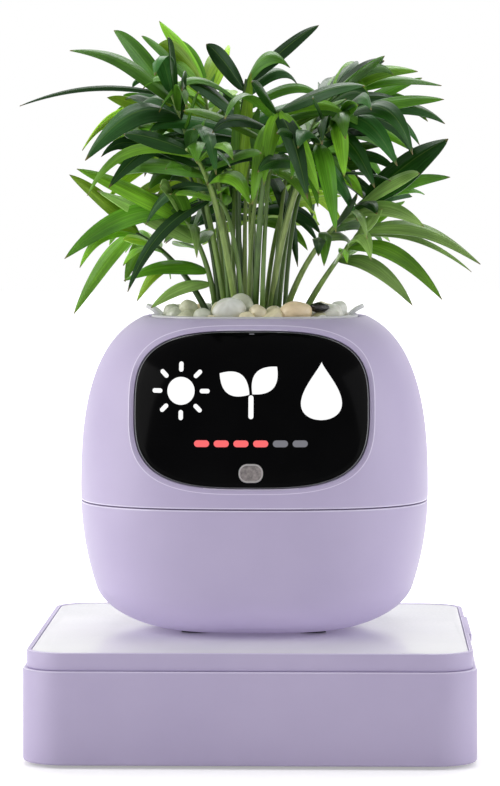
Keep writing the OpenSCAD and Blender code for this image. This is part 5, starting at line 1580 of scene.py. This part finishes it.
# %% The power button
button_low, button_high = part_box("power_button")
button_mid = (button_low + button_high) / 2
BUTTON_R, FLANGE_R, PLUNGER_R = 3.2, 4.1, 1.6
PLUNGER_LEN, BUTTON_FLANGE_T = 2.4, 1.2
CAP_RIM, DISH_RING, DISH_DEPTH, CAP_ROUND = 0.35, 0.9, 0.25, 0.15
clear_selection()
bpy.ops.mesh.primitive_circle_add(
    vertices=64, radius=PLUNGER_R * MM, fill_type="NGON", rotation=(-math.pi / 2, 0, 0),
    location=(button_mid.x, button_low.y, button_mid.z),
)
button = new_piece("power_button_cap")
bpy.ops.object.transform_apply(location=True, rotation=True, scale=True)
edit(button)
for length, grow in ((PLUNGER_LEN, FLANGE_R / PLUNGER_R), (BUTTON_FLANGE_T, BUTTON_R / FLANGE_R)):
    extrude_by(0, length, 0)
    bpy.ops.mesh.extrude_region_move()
    bpy.ops.transform.resize(value=(grow, 1, grow), center_override=button_mid)
extrude_by(0, (button_high.y - button_low.y) / MM - PLUNGER_LEN - BUTTON_FLANGE_T, 0)
bpy.ops.mesh.inset(thickness=CAP_RIM * MM)
bpy.ops.mesh.inset(thickness=DISH_RING * MM)
extrude_by(0, -DISH_DEPTH, 0)
choose(button, "EDGE", lambda line: all(end.co.y > button_high.y - SAME_PLACE * MM for end in line.verts))
bpy.ops.mesh.bevel(offset=CAP_ROUND * MM, segments=2, affect="EDGES")
settle(button, "power_button", ["power_button"], lavender, angle=40)

# %% [markdown]
# The other pieces keep their CAD solids, because their shapes are right and most are only seen from below
# or when the model is opened. Each gets the finish that its material slot names.

# %% Finish the CAD nodes that stay
SLOT_FINISHES = {
    "lavender_trim": lavender_trim, "soft_rubber": rubber, "screw_steel": steel, "socket_steel": socket_steel,
    "shield_can": shield_tin, "circuit_board": circuit_board, "connector_plastic": cream_plastic,
    "copper_foil": copper, "ribbon_film": ribbon_film, "display_module": display_black,
    "dark_plastic": dark_plastic, "cell_wrap": cell_wrap, "lavender_shell": lavender,
    "white_panel": gloss_white, "white_plastic": satin_white, "black_lens": lens_glass,
    "grey_window": window_face, "potting_soil": potting_soil, "river_stone": pale_stone,
    "dark_stone": dark_stone, "palm_leaf": palm_leaf,
}
slot_of = {part["node"]: part["material_slot"] for part in frame["record"]["subparts"]}
for name, solid in frame["nodes"].items():
    solid.data.materials.clear()
    solid.data.materials.append(SLOT_FINISHES[slot_of[name]])
print("Finished", len(frame["nodes"]), "CAD nodes")

# %% [markdown]
# The photograph was taken from the front, a little to the right and just above the rim, with a long lens.
# A long lens far away keeps the upright edges nearly parallel. The numbers were found by matching the rim,
# the seam, the lens and the base's edges with the places where they are seen.

# %% The camera
LENS_MM, SENSOR_MM = 179.5, 36
CAMERA_SPOT = (0.0348, -1.4411, 0.2034)
CAMERA_TILT, CAMERA_TURN = math.radians(3.04), math.radians(1.45)
clear_selection()
bpy.ops.object.camera_add(location=CAMERA_SPOT, rotation=(math.pi / 2 - CAMERA_TILT, 0, CAMERA_TURN))
camera = bpy.context.object
camera.name = "photo_camera"
camera.data.sensor_fit = "VERTICAL"
camera.data.sensor_height = SENSOR_MM
camera.data.lens = LENS_MM
camera.data.clip_end = 50
bpy.context.scene.camera = camera
print("Camera lens:", LENS_MM, "mm")

# %% [markdown]
# A studio lights such a product with two large soft boxes at the sides and one above and behind it. The front
# stays dimmer, which gives the darker front face and the black screen. A weak lamp that lies flat on the
# plate stands in for the light that a white table throws up at the pot. The camera sees none of the lamps,
# and the weak one isn't mirrored either.

# %% The lamps
BOUNCE_UP = 0.3
LAMPS = [
    ("left_softbox", (-1.7, -0.5, 0.75), 22.5, 1.5, (1.0, 0.99, 0.98)),
    ("right_softbox", (1.7, -0.45, 0.7), 15, 1.5, (0.98, 0.98, 1.0)),
    ("top_softbox", (0.0, 1.0, 1.65), 23, 1.5, (1.0, 1.0, 1.0)),
    ("table_bounce", (0.0, 0.0, (base_top + BOUNCE_UP) * MM), 0.017, 0.14, (1.0, 0.97, 0.98)),
]
AIM = Vector((0, 0, 0.13))
for name, spot, power, size, colour in LAMPS:
    clear_selection()
    bpy.ops.object.light_add(type="AREA", location=spot)
    lamp = bpy.context.object
    lamp.name = name
    lamp.data.energy = power
    lamp.data.size = size
    lamp.data.color = colour
    lamp.visible_camera = False
    lamp.visible_glossy = name != "table_bounce"
    lamp.rotation_euler = (AIM - Vector(spot)).to_track_quat("-Z", "Y").to_euler()
print("Lamps:", len(LAMPS))

# %% [markdown]
# The room's light is dimmer in front than behind. The camera, and whatever mirrors the room, sees plain
# white instead. The floor lies a hair below the part and is white too. It gives off light of its own, but
# only for rays from the camera or a mirroring surface, and less of it near the part, so it stays white and
# keeps the shadow.

# %% The world
FRONT_DIM, BACK_BRIGHT = 0.22, 0.50
world = bpy.data.worlds.new("studio")
bpy.context.scene.world = world
world.use_nodes = True
world.node_tree.nodes.clear()
way = add_node(world, "ShaderNodeTexCoord")
parts = add_node(world, "ShaderNodeSeparateXYZ")
ramp = map_range(world, -1, 1, FRONT_DIM, BACK_BRIGHT)
room = add_node(world, "ShaderNodeBackground", Color=(1, 1, 1, 1))
plain = add_node(world, "ShaderNodeBackground", Color=(1, 1, 1, 1))
path = add_node(world, "ShaderNodeLightPath")
seen = add_node(world, "ShaderNodeMath", operation="MAXIMUM")
mirrored = add_node(world, "ShaderNodeMath", operation="MAXIMUM")
mix = add_node(world, "ShaderNodeMixShader")
sky = add_node(world, "ShaderNodeOutputWorld")
join_sockets(world, way, "Generated", parts, "Vector")
join_sockets(world, parts, "Y", ramp, "Value")
join_sockets(world, ramp, "Result", room, "Strength")
join_sockets(world, path, "Is Camera Ray", seen, 0)
join_sockets(world, path, "Is Transmission Ray", seen, 1)
join_sockets(world, seen, "Value", mirrored, 0)
join_sockets(world, path, "Is Glossy Ray", mirrored, 1)
join_sockets(world, mirrored, "Value", mix, "Fac")
join_sockets(world, room, "Background", mix, 1)
join_sockets(world, plain, "Background", mix, 2)
join_sockets(world, mix, "Shader", sky, "Surface")
bpy.context.scene.view_settings.view_transform = "Standard"
print("World:", FRONT_DIM, "in front,", BACK_BRIGHT, "behind")

# %% The floor
FLOOR_GAP, FLOOR_SIZE = 0.0002, 12
FADE_NEAR, FADE_FAR, FADE_LEAST = 0.12, 0.5, 0.35
clear_selection()
bpy.ops.mesh.primitive_plane_add(size=FLOOR_SIZE, location=(0, 0, -FLOOR_GAP))
floor = new_piece("studio_floor")
floor_white, shader, place = start_finish("studio_floor_white")
fill_sockets(shader, {"Base Color": (0.86, 0.86, 0.86, 1), "Roughness": 0.9})
path = add_node(floor_white, "ShaderNodeLightPath")
seen = add_node(floor_white, "ShaderNodeMath", operation="MAXIMUM")
join_sockets(floor_white, path, "Is Camera Ray", seen, 0)
join_sockets(floor_white, path, "Is Glossy Ray", seen, 1)
far = add_node(floor_white, "ShaderNodeVectorMath", operation="LENGTH")
join_sockets(floor_white, place, "Object", far, 0)
fade = map_range(floor_white, FADE_NEAR, FADE_FAR, FADE_LEAST, 1)
join_sockets(floor_white, far, "Value", fade, "Value")
lift = add_node(floor_white, "ShaderNodeMath", operation="MULTIPLY")
join_sockets(floor_white, fade, "Result", lift, 0)
join_sockets(floor_white, seen, "Value", lift, 1)
shader.inputs["Emission Color"].default_value = (1, 1, 1, 1)
join_sockets(floor_white, lift, "Value", shader, "Emission Strength")
floor.data.materials.append(floor_white)
print("Floor is", floor.dimensions.x, "metres wide")
